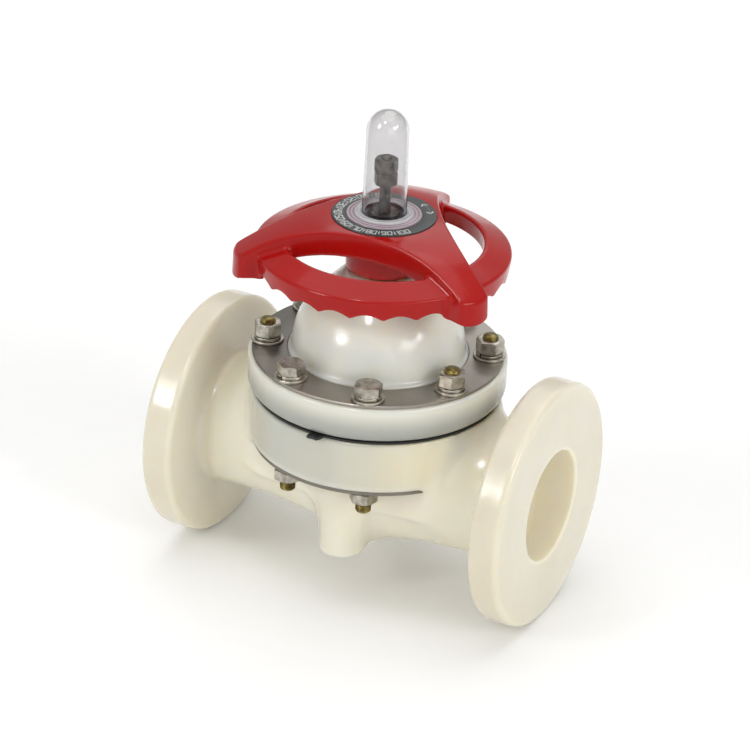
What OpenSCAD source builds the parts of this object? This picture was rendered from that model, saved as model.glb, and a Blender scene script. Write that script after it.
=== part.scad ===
// Diaphragm valve with flanged ends, a weir in its body and a rising position indicator.
// The origin is the centre of the inlet flange's face. +X runs along the pipe to the outlet
// and +Z runs along the stem to the handwheel. The valve is drawn half open.

/* [Pipe ends] */
// Length between the two flange faces
face_to_face = 350; // [346:1:360]
// Bore of the pipe ends
bore_d = 100; // [96:1:102]
// Outside diameter of the end flanges
flange_d = 220; // [214:1:226]
// Thickness of the end flanges
flange_t = 28.5; // [25:0.5:30]
// Outside diameter of the necks between the flanges and the drum
neck_d = 118; // [116:1:122]

/* [Bonnet joint] */
// Diameter of the body's round top flange
drum_d = 220; // [218:1:224]
// Diameter of the bonnet's flange
bonnet_d = 228; // [224:1:232]
// Circle on which the eight bonnet fasteners sit
bolt_circle_d = 195; // [194:0.5:196]
// Thread size of the bonnet fasteners
bolt_d = 14; // [12:1:14]
// Width across the flats of the bonnet nuts and bolt heads
bolt_af = 22; // [21:0.5:22]

/* [Stem and stroke] */
// Outside diameter of the stem's trapezoidal thread
stem_d = 28; // [26:1:28]
// Radial clearance of the stem and of the sleeve in their bores
running_gap = 0.06; // [0.04:0.01:0.09]
// Travel from the drawn position down to the closed position
stroke_down = 26; // [25:0.5:26]
// Travel from the drawn position up to the open position
stroke_up = 25; // [20:0.5:25]

/* [Handwheel] */
// Outside diameter of the grip ring
rim_d = 223; // [221:1:226]
// Diameter of the circle that the three arm tips touch
arm_tip_d = 260; // [256:1:264]
// Width of an arm at its tip
arm_tip_w = 30; // [27:1:32]
// Direction of the first arm, from +X
arm_angle = -24.3; // [-40:0.1:0]
// Number of finger scallops under the grip ring
scallops = 24; // [18:1:30]

/* [Indicator] */
// Outside diameter of the clear tube at its foot
tube_d = 39; // [38:0.5:40]
// Height of the top of the clear dome above the pipe axis
dome_top = 331.5; // [330:0.5:334]

/* [Hidden] */
$fn = 64;

// heights above the pipe axis
drum_bottom = 22;
drum_top = 69;
gasket_t = 2.5;
bonnet_bottom = drum_top + gasket_t;
bonnet_flange_top = 104;
plate_t = 3;
ring_top = bonnet_flange_top + plate_t;
bonnet_top = 184.5;
foot_bottom = -67;
wheel_top = 235;

stem_x = face_to_face / 2;
flange_r = flange_d / 2;
neck_r = neck_d / 2;
bore_r = bore_d / 2;
bolt_r = bolt_d / 2;
bolt_hole_r = bolt_r + 0.75;

// weir and bowl inside the body: the bowl is part of a sphere, and each pipe bore ends in one
weir_top = 18;
land_r = 69.6;
bowl_depth = drum_top - weir_top;
bowl_r = (land_r * land_r + bowl_depth * bowl_depth) / (2 * bowl_depth);
bore_end_x = 72;
neck_belly = 4;

// foot
foot_boss_r = 19;
foot_pitch = 114;
foot_screw_r = 5;
foot_insert_r = 9;
foot_insert_h = 20;

// fastener positions round the stem
bolt_angles = [-112.5, -67.5, 67.5, 112.5];
stud_angles = [-157.5, -22.5, 22.5, 157.5];
all_angles = concat(bolt_angles, stud_angles);
flat_washer_t = 2.5;
spring_washer_t = 3;
nut_seat = ring_top + flat_washer_t + spring_washer_t;
nut_h = 12;
lower_nut_h = 10;
bolt_end_z = -2.5;
head_h = 9;
insert_depth = 22;
insert_r = 10;
segment_t = 3.5;
segment_low = drum_bottom - segment_t;

// bonnet
bell_r = 76;
bell_base_r = 79;
bell_shoulder_z = 130;
shoulder_r = 22;
cavity_r = 68;
roof = 150;
collar_low = 164;
collar_high = 174;
thrust_t = 2;
ring_r = 28;
rib_w = 10;
rib_in = 57;

// diaphragm
dish_r = 66;
dish_depth = 23.25;
sheet_half = gasket_t / 2;
web_half = 2.5;
gasket_r = 109;
knob_r = 16;
knob_top = 55;
disc_r = 11.5;
disc_t = 5;
disc_low = 47;
insert_stud_r = 6;
insert_stud_top = 72;
bond_gap = 0.3;

// compressor, stem and sleeve
press_bottom = 50;
press_r = 58;
press_sphere_r = bowl_r - 6;
press_centre = press_bottom + press_sphere_r;
hub_top = 100;
hub_r = 24;
spigot_r = 11;
spigot_bottom = 78;
pin_z = 89;
pin_r = 4;
stem_r = stem_d / 2;
stem_shoulder = 104;
stem_top = 205;
rod_r = 5;
rod_headroom = 16.5;
rod_top = dome_top - stroke_up - rod_headroom;
nut_low = 264;
stop_nut_h = 12;
stop_nut_af = 18;
sleeve_r = 20;
collar_r = 27;
hex_bottom = 187;
hex_top = 228;
hex_af = 38;
lock_r = 26;
lock_thread_r = 18;
lock_t = 4.5;
sleeve_top = nut_low - stroke_down - 0.1;
groove_z = (collar_high + thrust_t + bonnet_top) / 2;

// indicator cover and dial
cover_r = 33;
cover_low = hex_top + lock_t + 0.1;
cover_t = 4;
dial_in = cover_r;
dial_out = 45.3;
dial_t = 1.6;
dial_proud = 0.6;
cover_seal_r = 29.5;

// grip ring and arms
rim_r = rim_d / 2;
rim_in = 87;
rim_low = 186;
scallop_depth = 5;
tip_r = arm_tip_d / 2;
tip_bulge = 4;
tip_corner = tip_r - tip_bulge;
plate_r = 50;
arm_drop = 29.2;
arm_crown = 4.5;
arm_depth = 22;
tip_low = 184;
tip_block_r = 104;
arm_wall = 4.5;
arm_top_t = 6;

// ---- shared shapes ----

// points of an arc round c, from angle a0 to a1
function arc(c, r, a0, a1, n = 8) =
    [for (i = [0 : n]) let (a = a0 + (a1 - a0) * i / n) [c[0] + r * cos(a), c[1] + r * sin(a)]];

module on_stem() {
    translate([stem_x, 0, 0]) children();
}

module at_angles(angles, radius = bolt_circle_d / 2) {
    for (a = angles) rotate([0, 0, a]) translate([radius, 0, 0]) children();
}

// a solid of revolution round the stem, from an outline of [radius, height] points
module turned(points) {
    rotate_extrude() polygon(points);
}

// a plain ring or tube from z0 to z1
module ring(r_in, r_out, z0, z1) {
    difference() {
        translate([0, 0, z0]) cylinder(h = z1 - z0, r = r_out);
        translate([0, 0, z0 - 1]) cylinder(h = z1 - z0 + 2, r = r_in);
    }
}

// a hexagonal prism of width af across the flats, with its corners chamfered at the top,
// and at the bottom as well when both is true
module hexagon(af, h, both = false) {
    corner = af / 2 / cos(30);
    cut = corner - af / 2 * 0.96;
    drop = cut * tan(30);
    foot = both ? [[0, 0], [corner - cut, 0], [corner, drop]] : [[0, 0], [corner, 0]];
    intersection() {
        cylinder(h = h, r = corner, $fn = 6);
        turned(concat(foot, [[corner, h - drop], [corner - cut, h], [0, h]]));
    }
}

module hex_nut(af, h, r_thread) {
    difference() {
        hexagon(af, h, true);
        translate([0, 0, -1]) cylinder(h = h + 2, r = r_thread);
    }
}

// ---- body ----

// one end flange with the fillet into its neck; its face is at z = 0
module end_flange() {
    edge = 4;
    fillet = 10;
    turned(concat(
        [[0, 0]],
        arc([flange_r - edge, edge], edge, -90, 0),
        arc([flange_r - edge, flange_t - edge], edge, 0, 90),
        arc([neck_r + fillet, flange_t + fillet], fillet, 270, 180),
        [[0, flange_t + fillet]]
    ));
}

// the tube between the flanges, a little fatter in the middle
module neck() {
    belly_x = 84;
    turned(concat(
        [[0, flange_t], [neck_r, flange_t]],
        [for (i = [-8 : 8])
            [neck_r + neck_belly * (1 + cos(i * 22.5)) / 2, stem_x + belly_x * i / 8]],
        [[neck_r, face_to_face - flange_t], [0, face_to_face - flange_t]]
    ));
}

module drum() {
    edge = 4;
    turned(concat(
        [[0, drum_bottom]],
        arc([drum_d / 2 - edge, drum_bottom + edge], edge, -90, 0),
        arc([drum_d / 2 - 2, drum_top - 2], 2, 0, 90, 4),
        [[0, drum_top]]
    ));
}

// the wall that carries the drum down to the necks
module saddle() {
    intersection() {
        cylinder(h = drum_top - 10, r = drum_d / 2 - 3);
        translate([-drum_d / 2, -neck_r, 0]) cube([drum_d, neck_d, drum_top]);
    }
}

// two bosses under the drum, joined by a web below the pipe
module foot() {
    web_half_t = 15;
    for (side = [-1, 1])
        translate([0, side * foot_pitch / 2, foot_bottom])
            cylinder(h = drum_bottom + 4 - foot_bottom, r = foot_boss_r);
    translate([-web_half_t, -foot_pitch / 2, foot_bottom])
        cube([2 * web_half_t, foot_pitch, 40]);
}

// one pipe bore, which ends against the weir in part of a sphere
module pipe_bore() {
    length = stem_x - bore_end_x;
    translate([-1, 0, 0]) rotate([0, 90, 0]) cylinder(h = length + 1, r = bore_r);
    translate([length, 0, 0]) rotate([0, 90, 0]) sphere(r = bore_r);
}

module body() {
    color("ivory") difference() {
        union() {
            rotate([0, 90, 0]) end_flange();
            translate([face_to_face, 0, 0]) rotate([0, -90, 0]) end_flange();
            rotate([0, 90, 0]) neck();
            on_stem() drum();
            on_stem() saddle();
            on_stem() foot();
        }
        pipe_bore();
        translate([face_to_face, 0, 0]) mirror([1, 0, 0]) pipe_bore();
        on_stem() translate([0, 0, weir_top + bowl_r]) sphere(r = bowl_r);
        on_stem() at_angles(bolt_angles)
            translate([0, 0, drum_bottom - 1]) cylinder(h = drum_top, r = bolt_hole_r);
        on_stem() at_angles(stud_angles)
            translate([0, 0, drum_top - insert_depth]) cylinder(h = drum_top, r = insert_r);
        on_stem() for (side = [-1, 1])
            translate([0, side * foot_pitch / 2, foot_bottom - 1])
                cylinder(h = foot_insert_h + 1, r = foot_insert_r);
    }
}

module body_inserts() {
    color("goldenrod") on_stem() at_angles(stud_angles)
        ring(bolt_r, insert_r, drum_top - insert_depth, drum_top - 0.2);
}

module foot_inserts() {
    color("goldenrod") on_stem() for (side = [-1, 1])
        translate([0, side * foot_pitch / 2, 0])
            ring(foot_screw_r, foot_insert_r, foot_bottom, foot_bottom + foot_insert_h);
}

// ---- steel plates ----

// a part of a ring under the drum, centred on the direction a and cut straight where it
// would meet the wall between the drum and the necks
module segment_plate(a) {
    half_span = 51.75;
    inner_r = 84;
    outer_r = 108;
    wall_half_w = neck_r + neck_belly;
    translate([0, 0, segment_low]) difference() {
        rotate([0, 0, a - half_span]) rotate_extrude(angle = 2 * half_span)
            translate([inner_r, 0]) square([outer_r - inner_r, segment_t]);
        translate([-outer_r, -wall_half_w, -1])
            cube([2 * outer_r, 2 * wall_half_w, segment_t + 2]);
        at_angles([a - 22.5, a + 22.5])
            translate([0, 0, -1]) cylinder(h = segment_t + 2, r = bolt_hole_r);
    }
}

module front_segment_plate() {
    color("silver") on_stem() segment_plate(-90);
}

module rear_segment_plate() {
    color("silver") on_stem() segment_plate(90);
}

module bonnet_ring_plate() {
    inner_r = 79.5;
    outer_r = 110.5;
    color("silver") on_stem() difference() {
        ring(inner_r, outer_r, bonnet_flange_top, ring_top);
        at_angles(all_angles) translate([0, 0, ring_top - 10]) cylinder(h = 20, r = bolt_hole_r);
    }
}

// ---- bonnet ----

// outside of the bonnet: flange, step and a bell that ends in a cone
module bonnet_outside() {
    edge = 10;
    lip = 2;
    base_fillet = 5;
    base_z = ring_top + 1;
    shoulder = [bell_r - shoulder_r, bell_shoulder_z];
    cone_sum = shoulder[0] + shoulder[1] + shoulder_r * sqrt(2);
    turned(concat(
        [[0, bonnet_bottom]],
        arc([bonnet_d / 2 - edge, bonnet_bottom + edge], edge, -90, 0),
        arc([bonnet_d / 2 - 2, bonnet_flange_top - 2], 2, 0, 90, 4),
        [[bell_base_r, bonnet_flange_top], [bell_base_r, base_z]],
        arc([bell_r + base_fillet, base_z + base_fillet], base_fillet, 240, 180, 4),
        arc(shoulder, shoulder_r, 0, 45),
        arc([cone_sum - bonnet_top + lip * (1 - sqrt(2)), bonnet_top - lip], lip, 45, 90, 4),
        [[0, bonnet_top]]
    ));
}

// the room for the compressor and the stepped bore for the sleeve
module bonnet_inside() {
    turned([[0, bonnet_bottom - 1], [cavity_r, bonnet_bottom - 1], [cavity_r, 132],
            [46, roof], [0, roof]]);
    translate([0, 0, roof - 1])
        cylinder(h = collar_low - thrust_t - roof + 1, r = ring_r + 2);
    translate([0, 0, roof]) cylinder(h = collar_high + thrust_t - roof, r = ring_r);
    translate([0, 0, roof])
        cylinder(h = bonnet_top + 1 - roof, r = sleeve_r + running_gap);
}

// two upright ribs that keep the compressor from turning
module guide_ribs() {
    rib_out = cavity_r + 3;
    rib_low = bonnet_bottom + 2;
    rib_high = 132;
    for (side = [-1, 1])
        translate([-rib_w / 2, side > 0 ? rib_in : -rib_out, rib_low])
            cube([rib_w, rib_out - rib_in, rib_high - rib_low]);
}

module bonnet() {
    color("ivory") on_stem() {
        difference() {
            bonnet_outside();
            bonnet_inside();
            at_angles(all_angles)
                translate([0, 0, bonnet_bottom - 1]) cylinder(h = 50, r = bolt_hole_r);
        }
        guide_ribs();
    }
}

// ---- fasteners ----

module through_bolts() {
    color("silver") on_stem() at_angles(bolt_angles) {
        translate([0, 0, nut_seat]) hexagon(bolt_af, head_h);
        translate([0, 0, bolt_end_z]) cylinder(h = nut_seat - bolt_end_z + 1, r = bolt_r);
    }
}

module through_bolt_nuts() {
    color("silver") on_stem() at_angles(bolt_angles)
        translate([0, 0, segment_low - lower_nut_h]) hex_nut(bolt_af, lower_nut_h, bolt_r);
}

module studs() {
    low = drum_top - insert_depth + 1;
    high = nut_seat + nut_h + 3;
    color("darkkhaki") on_stem() at_angles(stud_angles)
        translate([0, 0, low]) cylinder(h = high - low, r = bolt_r);
}

module stud_nuts() {
    color("silver") on_stem() at_angles(stud_angles)
        translate([0, 0, nut_seat]) hex_nut(bolt_af, nut_h, bolt_r);
}

module spring_washers() {
    low = ring_top + flat_washer_t;
    slit = 1.2;
    color("silver") on_stem() at_angles(all_angles) difference() {
        ring(bolt_r + 0.2, 12, low, low + spring_washer_t);
        translate([0, -slit / 2, low - 1]) cube([20, slit, spring_washer_t + 2]);
    }
}

module flat_washers() {
    color("silver") on_stem() at_angles(all_angles)
        ring(bolt_r + 0.4, 14.5, ring_top, ring_top + flat_washer_t);
}

// ---- diaphragm and compressor ----

function dish(r) =
    drum_top + sheet_half
    - (r < dish_r ? dish_depth * pow(1 - r * r / (dish_r * dish_r), 1.3) : 0);
function half_t(r) = sheet_half + (web_half - sheet_half) * max(0, min(1, (dish_r - r) / 14));

// a rubber sheet with a flat clamped edge, a moulded dish and a knob round the insert
module diaphragm() {
    steps = 12;
    tab_w = 14;
    radii = [for (i = [0 : steps]) dish_r * i / steps];
    under = [for (r = radii) [r, dish(r) - half_t(r)]];
    over = [for (i = [steps : -1 : 3]) [radii[i], dish(radii[i]) + half_t(radii[i])]];
    knob = [[knob_r, dish(knob_r) + half_t(knob_r)], [knob_r, knob_top], [0, knob_top]];
    color("dimgray") on_stem() difference() {
        union() {
            turned(concat(under, [[gasket_r, drum_top], [gasket_r, bonnet_bottom]], over, knob));
            translate([-tab_w / 2, -118, drum_top]) cube([tab_w, 20, gasket_t]);
        }
        at_angles(all_angles) translate([0, 0, drum_top - 1]) cylinder(h = 10, r = bolt_hole_r);
        translate([0, 0, disc_low - bond_gap])
            cylinder(h = disc_t + 2 * bond_gap, r = disc_r + bond_gap);
        translate([0, 0, disc_low]) cylinder(h = 20, r = insert_stud_r + bond_gap);
    }
}

// a disc moulded into the diaphragm, with a stud that screws into the compressor
module diaphragm_insert() {
    color("silver") on_stem() {
        translate([0, 0, disc_low]) cylinder(h = disc_t, r = disc_r);
        translate([0, 0, disc_low + 1])
            cylinder(h = insert_stud_top - disc_low - 1, r = insert_stud_r);
    }
}

// a casting with a dished web, eight ribs and a hub that holds the end of the stem
module compressor() {
    web_t = 8;
    rib_t = 8;
    rib_count = 8;
    web_hub_z = 68;
    rib_hub_z = 96;
    slot_w = rib_w + 2;
    slot_in = rib_in - 4;
    under = [for (i = [0 : 10]) let (r = press_r * i / 10)
        [r, press_centre - sqrt(press_sphere_r * press_sphere_r - r * r)]];
    lip_z = under[10][1] + web_t;
    color("dimgray") on_stem() difference() {
        union() {
            turned(concat(under,
                [[press_r, lip_z], [press_r - 8, lip_z - 3], [hub_r, web_hub_z], [0, web_hub_z]]));
            translate([0, 0, web_hub_z - 8]) cylinder(h = hub_top - web_hub_z + 8, r = hub_r);
            intersection() {
                turned(concat(under, [[press_r, lip_z], [hub_r, rib_hub_z], [0, rib_hub_z]]));
                for (i = [0 : rib_count / 2 - 1]) rotate([0, 0, (i + 0.5) * 360 / rib_count])
                    translate([-press_r, -rib_t / 2, press_bottom])
                        cube([2 * press_r, rib_t, rib_hub_z - press_bottom + 1]);
            }
        }
        translate([0, 0, press_bottom - 1])
            cylinder(h = knob_top - press_bottom + 1.5, r = knob_r + 0.5);
        translate([0, 0, press_bottom])
            cylinder(h = spigot_bottom - press_bottom, r = insert_stud_r);
        translate([0, 0, spigot_bottom]) cylinder(h = hub_top, r = spigot_r);
        translate([-press_r, 0, pin_z]) rotate([0, 90, 0]) cylinder(h = 2 * press_r, r = pin_r);
        for (side = [-1, 1])
            translate([-slot_w / 2, side > 0 ? slot_in : -slot_in - 20, press_bottom])
                cube([slot_w, 20, hub_top]);
    }
}

module compressor_pin() {
    color("silver") on_stem() translate([-hub_r + 1, 0, pin_z])
        rotate([0, 90, 0]) cylinder(h = 2 * hub_r - 2, r = pin_r);
}

// ---- stem, sleeve and their bearings ----

module stem() {
    color("silver") on_stem() difference() {
        union() {
            translate([0, 0, spigot_bottom])
                cylinder(h = stem_shoulder - spigot_bottom + 1, r = spigot_r);
            translate([0, 0, stem_shoulder]) cylinder(h = stem_top - stem_shoulder, r = stem_r);
            translate([0, 0, stem_top - 1]) cylinder(h = rod_top - stem_top + 1, r = rod_r);
        }
        translate([-40, 0, pin_z]) rotate([0, 90, 0]) cylinder(h = 80, r = pin_r);
    }
}

module stopper_nut_lower() {
    color("silver") on_stem() translate([0, 0, nut_low]) hex_nut(stop_nut_af, stop_nut_h, rod_r);
}

module stopper_nut_upper() {
    color("silver") on_stem() translate([0, 0, nut_low + stop_nut_h])
        hex_nut(stop_nut_af, stop_nut_h, rod_r);
}

// the turning nut: a collar between the thrust rings, a hexagon for the wheel, a stop on top
module sleeve() {
    low = 154;
    stop_r = 13;
    groove_depth = 3.2;
    groove_half_h = 1.8;
    thread_top = sleeve_top - 6;
    color("peru") on_stem() difference() {
        union() {
            translate([0, 0, low]) cylinder(h = hex_bottom - low, r = sleeve_r);
            translate([0, 0, collar_low + 0.1])
                cylinder(h = collar_high - collar_low - 0.2, r = collar_r);
            translate([0, 0, hex_bottom - 1])
                cylinder(h = hex_top - hex_bottom + 1, r = hex_af / 2 / cos(30), $fn = 6);
            translate([0, 0, hex_top - 1]) cylinder(h = lock_t + 1, r = lock_thread_r);
            translate([0, 0, hex_top]) cylinder(h = sleeve_top - hex_top, r = stop_r);
        }
        translate([0, 0, low - 1]) cylinder(h = thread_top - low + 1, r = stem_r + running_gap);
        translate([0, 0, low]) cylinder(h = 100, r = rod_r + 0.6);
        ring(sleeve_r - groove_depth, sleeve_r + 1,
            groove_z - groove_half_h, groove_z + groove_half_h);
    }
}

module sleeve_o_ring() {
    section_r = 1.45;
    color("black") on_stem() translate([0, 0, groove_z])
        rotate_extrude() translate([sleeve_r - 0.2 - section_r, 0]) circle(r = section_r);
}

module thrust_ring_upper() {
    color("gainsboro") on_stem() ring(sleeve_r + 0.4, ring_r, collar_high, collar_high + thrust_t);
}

module thrust_ring_lower() {
    color("gainsboro") on_stem() ring(sleeve_r + 0.4, ring_r, collar_low - thrust_t, collar_low);
}

// a threaded ring, with four slots underneath for a pin wrench
module sleeve_retainer() {
    slot_w = 4;
    slot_depth = 4;
    color("goldenrod") on_stem() difference() {
        ring(sleeve_r + 0.5, ring_r + 2, roof, collar_low - thrust_t);
        for (a = [0 : 90 : 270]) rotate([0, 0, a])
            translate([ring_r - 2.5, -slot_w / 2, roof - 1]) cube([6, slot_w, slot_depth + 1]);
    }
}

// ---- handwheel ----

// plan of the hub plate and its three arms, whose tips bulge; inset moves the edge inwards
module wheel_plan(inset = 0) {
    steps = 8;
    past_tip = 3;
    half_w = arm_tip_w / 2;
    side_angle = 60 - atan(half_w / tip_corner);
    side = norm([tip_corner, half_w]) * [cos(side_angle), sin(side_angle)];
    curve_c = (side[0] * side[0] + side[1] * side[1] - plate_r * plate_r)
        / (2 * (side[0] - plate_r));
    reach = asin(side[1] / (curve_c - plate_r)) + past_tip;
    curve_r = curve_c - plate_r + inset;
    points = [for (k = [0 : 2]) let (mid = arm_angle + 60 + 120 * k)
        for (i = [-steps : steps]) let (s = reach * i / steps,
                u = curve_c - curve_r * cos(s), v = curve_r * sin(s))
            [u * cos(mid) - v * sin(mid), u * sin(mid) + v * cos(mid)]];
    end_r = (half_w * half_w + tip_bulge * tip_bulge) / (2 * tip_bulge);
    intersection() {
        polygon(points);
        union() {
            circle(r = tip_corner - tip_bulge - inset);
            for (k = [0 : 2]) rotate([0, 0, arm_angle + 120 * k])
                translate([tip_r - end_r, 0]) circle(r = end_r - inset);
        }
    }
}

// height of the wheel's upper face at radius r: level at the hub, then down along the arms,
// whose backs are crowned
function wheel_face(r) = let (t = max(0, (r - plate_r) / (tip_corner - plate_r)))
    wheel_top - arm_drop * t + arm_crown * 4 * t * (1 - t);

// a slab that follows the upper face, from above to below under it, and reaches down to low
// at the arms' ends
module wheel_slab(above, below, low) {
    steps = 6;
    end_r = tip_r + 2;
    radii = concat([0], [for (i = [0 : steps]) plate_r + (end_r - plate_r) * i / steps]);
    turned(concat(
        [for (r = radii) [r, wheel_face(r) - above]],
        [[end_r, low], [tip_block_r, low]],
        [for (i = [steps : -1 : 0]) if (radii[i] < tip_block_r)
            [radii[i], wheel_face(radii[i]) - below]]
    ));
}

module arms() {
    difference() {
        intersection() {
            wheel_slab(0, arm_depth, tip_low);
            translate([0, 0, rim_low - 40]) linear_extrude(height = 120) wheel_plan(0);
        }
        intersection() {
            wheel_slab(arm_top_t, arm_depth + 1, tip_low - 1);
            translate([0, 0, rim_low - 40]) linear_extrude(height = 120) wheel_plan(arm_wall);
        }
    }
}

// the grip ring is a channel, open underneath, with finger scallops along its outer skirt; its
// upper face slopes outwards
module grip_ring() {
    skirt = 6;
    outer_low = rim_r - 3;
    edge = 3;
    lip = 2.5;
    face_tilt = 67;
    inner_top = 214;
    outer_top = 206;
    inner_low = 198;
    pitch_chord = 2 * outer_low * sin(180 / scallops);
    cut_r = (pitch_chord * pitch_chord / 4 + scallop_depth * scallop_depth) / (2 * scallop_depth);
    difference() {
        turned(concat(
            [[outer_low - skirt, rim_low], [outer_low, rim_low]],
            arc([rim_r - edge, outer_top - edge], edge, 0, face_tilt),
            arc([rim_in + lip, inner_top - lip], lip, face_tilt, 180),
            [[rim_in, inner_low], [rim_in + 4, inner_low], [rim_in + 5, inner_top - 5],
                [rim_r - 8, outer_top - 5]]
        ));
        for (i = [0 : scallops - 1])
            rotate([0, 0, arm_angle + i * 360 / scallops])
                translate([rim_in + 8, 0, rim_low + scallop_depth - cut_r])
                    rotate([0, 90, 0]) cylinder(h = 30, r = cut_r);
    }
}

module handwheel() {
    hub_skirt_r = 31.7;
    hub_boss_r = 38;
    dial_low = wheel_top + dial_proud - dial_t;
    color("crimson") on_stem() difference() {
        union() {
            arms();
            grip_ring();
            translate([0, 0, hex_bottom])
                cylinder(h = wheel_top - 3 - hex_bottom, r = hub_skirt_r);
            translate([0, 0, wheel_top - 12]) cylinder(h = 10, r = hub_boss_r);
        }
        translate([0, 0, hex_bottom - 1])
            cylinder(h = wheel_top - hex_bottom, r = hex_af / 2 / cos(30), $fn = 6);
        translate([0, 0, hex_top]) cylinder(h = 20, r = lock_r);
        translate([0, 0, cover_low]) cylinder(h = 20, r = cover_r);
        ring(cover_seal_r - 1.1, cover_seal_r + 1.1, cover_low - 2.1, cover_low + 1);
        translate([0, 0, dial_low]) cylinder(h = 20, r = dial_out);
    }
}

module wheel_lock_nut() {
    slot_w = 4;
    slot_depth = 2.5;
    color("goldenrod") on_stem() difference() {
        ring(lock_thread_r, lock_r, hex_top, hex_top + lock_t);
        for (a = [0 : 90 : 270]) rotate([0, 0, a])
            translate([lock_r - 3, -slot_w / 2, hex_top + lock_t - slot_depth])
                cube([6, slot_w, slot_depth + 1]);
    }
}

// the dial ring round the indicator
module nameplate() {
    color("black") on_stem()
        ring(dial_in, dial_out, wheel_top + dial_proud - dial_t, wheel_top + dial_proud);
}

// ---- position indicator ----

// a clear cover with a flange, a tapered tube and a round top
module gauge_cover() {
    wall = 2;
    draft = 1.2;
    base_r = tube_d / 2;
    top_r = base_r - draft;
    dome_z = dome_top - top_r;
    foot_top = cover_low + cover_t;
    collar_r = 25;
    color([0.9, 0.85, 0.9, 0.45]) on_stem() turned(concat(
        [[base_r - wall, cover_low], [cover_r - 0.1, cover_low], [cover_r - 0.1, foot_top],
         [collar_r + 1, foot_top], [collar_r, foot_top + 2], [base_r + 2, foot_top + 2],
         [base_r, foot_top + 5]],
        arc([0, dome_z], top_r, 0, 90, 12),
        arc([0, dome_z], top_r - wall, 90, 0, 12)
    ));
}

module gauge_o_ring() {
    color("black") on_stem() translate([0, 0, cover_low - 1])
        rotate_extrude() translate([cover_seal_r, 0]) circle(r = 1);
}

body();
body_inserts();
foot_inserts();
front_segment_plate();
rear_segment_plate();
bonnet();
bonnet_ring_plate();
through_bolts();
through_bolt_nuts();
studs();
stud_nuts();
spring_washers();
flat_washers();
diaphragm();
diaphragm_insert();
compressor();
compressor_pin();
stem();
stopper_nut_lower();
stopper_nut_upper();
sleeve();
sleeve_o_ring();
thrust_ring_upper();
thrust_ring_lower();
sleeve_retainer();
handwheel();
wheel_lock_nut();
nameplate();
gauge_cover();
gauge_o_ring();
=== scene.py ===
"""Looks of the flanged diaphragm valve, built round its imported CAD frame.

Lengths inside the shape functions are in millimetres, in the frame's own axes, with the stem's
axis at x = STEM_X; every mesh is scaled to metres as it is made.
"""
import math

import bmesh
import bpy
import numpy as np
from mathutils import Matrix, Vector
from mathutils.geometry import tessellate_polygon


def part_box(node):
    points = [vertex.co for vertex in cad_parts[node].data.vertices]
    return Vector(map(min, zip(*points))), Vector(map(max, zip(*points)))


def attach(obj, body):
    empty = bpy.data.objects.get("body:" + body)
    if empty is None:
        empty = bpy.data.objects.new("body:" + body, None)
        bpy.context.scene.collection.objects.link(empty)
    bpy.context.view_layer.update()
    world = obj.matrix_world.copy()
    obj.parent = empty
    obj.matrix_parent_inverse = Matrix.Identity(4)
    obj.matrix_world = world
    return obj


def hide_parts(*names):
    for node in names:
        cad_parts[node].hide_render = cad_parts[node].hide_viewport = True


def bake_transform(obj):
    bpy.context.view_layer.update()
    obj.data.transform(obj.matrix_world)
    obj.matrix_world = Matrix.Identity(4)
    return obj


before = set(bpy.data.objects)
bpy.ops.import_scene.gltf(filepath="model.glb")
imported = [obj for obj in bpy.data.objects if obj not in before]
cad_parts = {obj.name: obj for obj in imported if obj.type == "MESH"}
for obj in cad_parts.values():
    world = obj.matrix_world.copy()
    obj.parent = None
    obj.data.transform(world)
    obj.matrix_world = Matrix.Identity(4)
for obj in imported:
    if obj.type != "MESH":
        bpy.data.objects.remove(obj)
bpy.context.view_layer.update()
MM = 0.001
TAU = 2 * math.pi


def node_mm(name):
    """Lowest and highest corner of a CAD node, in millimetres."""
    low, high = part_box(name)
    return np.array(low) / MM, np.array(high) / MM


# ---------------------------------------------------------------- sizes taken from the frame
body_low, body_high = node_mm("body")
bonnet_low, bonnet_high = node_mm("bonnet")
plate_low, plate_high = node_mm("bonnet_ring_plate")
wheel_low, wheel_high = node_mm("handwheel")
cover_low, cover_high = node_mm("gauge_cover")
stem_low, stem_high = node_mm("stem")
dial_low, dial_high = node_mm("nameplate")
segment_low, segment_high = node_mm("front_segment_plate")
stop_low, stop_high = node_mm("stopper_nut_lower")
stop2_low, stop2_high = node_mm("stopper_nut_upper")
gasket_low, gasket_high = node_mm("diaphragm")

LENGTH = body_high[0] - body_low[0]
STEM_X = LENGTH / 2
FLANGE_R = (body_high[1] - body_low[1]) / 2
FLANGE_T = 28.5
NECK_R = 59.0
BORE_R = 50.0
BORE_END_X = 72.0
DRUM_R = 110.0
DRUM_BOTTOM = 22.0
FOOT_BOTTOM = -67.0
FOOT_PITCH = 114.0
BONNET_R = (bonnet_high[0] - bonnet_low[0]) / 2
BONNET_BOTTOM = bonnet_low[2]
GASKET_T = 2.5
DRUM_TOP = BONNET_BOTTOM - GASKET_T
FLANGE_TOP = plate_low[2]
RING_TOP = plate_high[2]
BONNET_TOP = bonnet_high[2]
WHEEL_TOP = 235.0
BOLT_CIRCLE_R = 97.5
BOLT_R = 7.0
BOLT_HOLE_R = 7.75
INSERT_R = 10.0
INSERT_DEPTH = 22.0
BOLT_ANGLES = (-112.5, -67.5, 67.5, 112.5)
STUD_ANGLES = (-157.5, -22.5, 22.5, 157.5)
ALL_ANGLES = BOLT_ANGLES + STUD_ANGLES
FLAT_WASHER_T = 2.5
SPRING_WASHER_T = 3.0
NUT_SEAT = RING_TOP + FLAT_WASHER_T + SPRING_WASHER_T
NUT_H = 12.0
LOWER_NUT_H = 10.0
HEAD_H = 9.0
BOLT_AF = 22.0
ARM_ANGLE = -24.3


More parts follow.
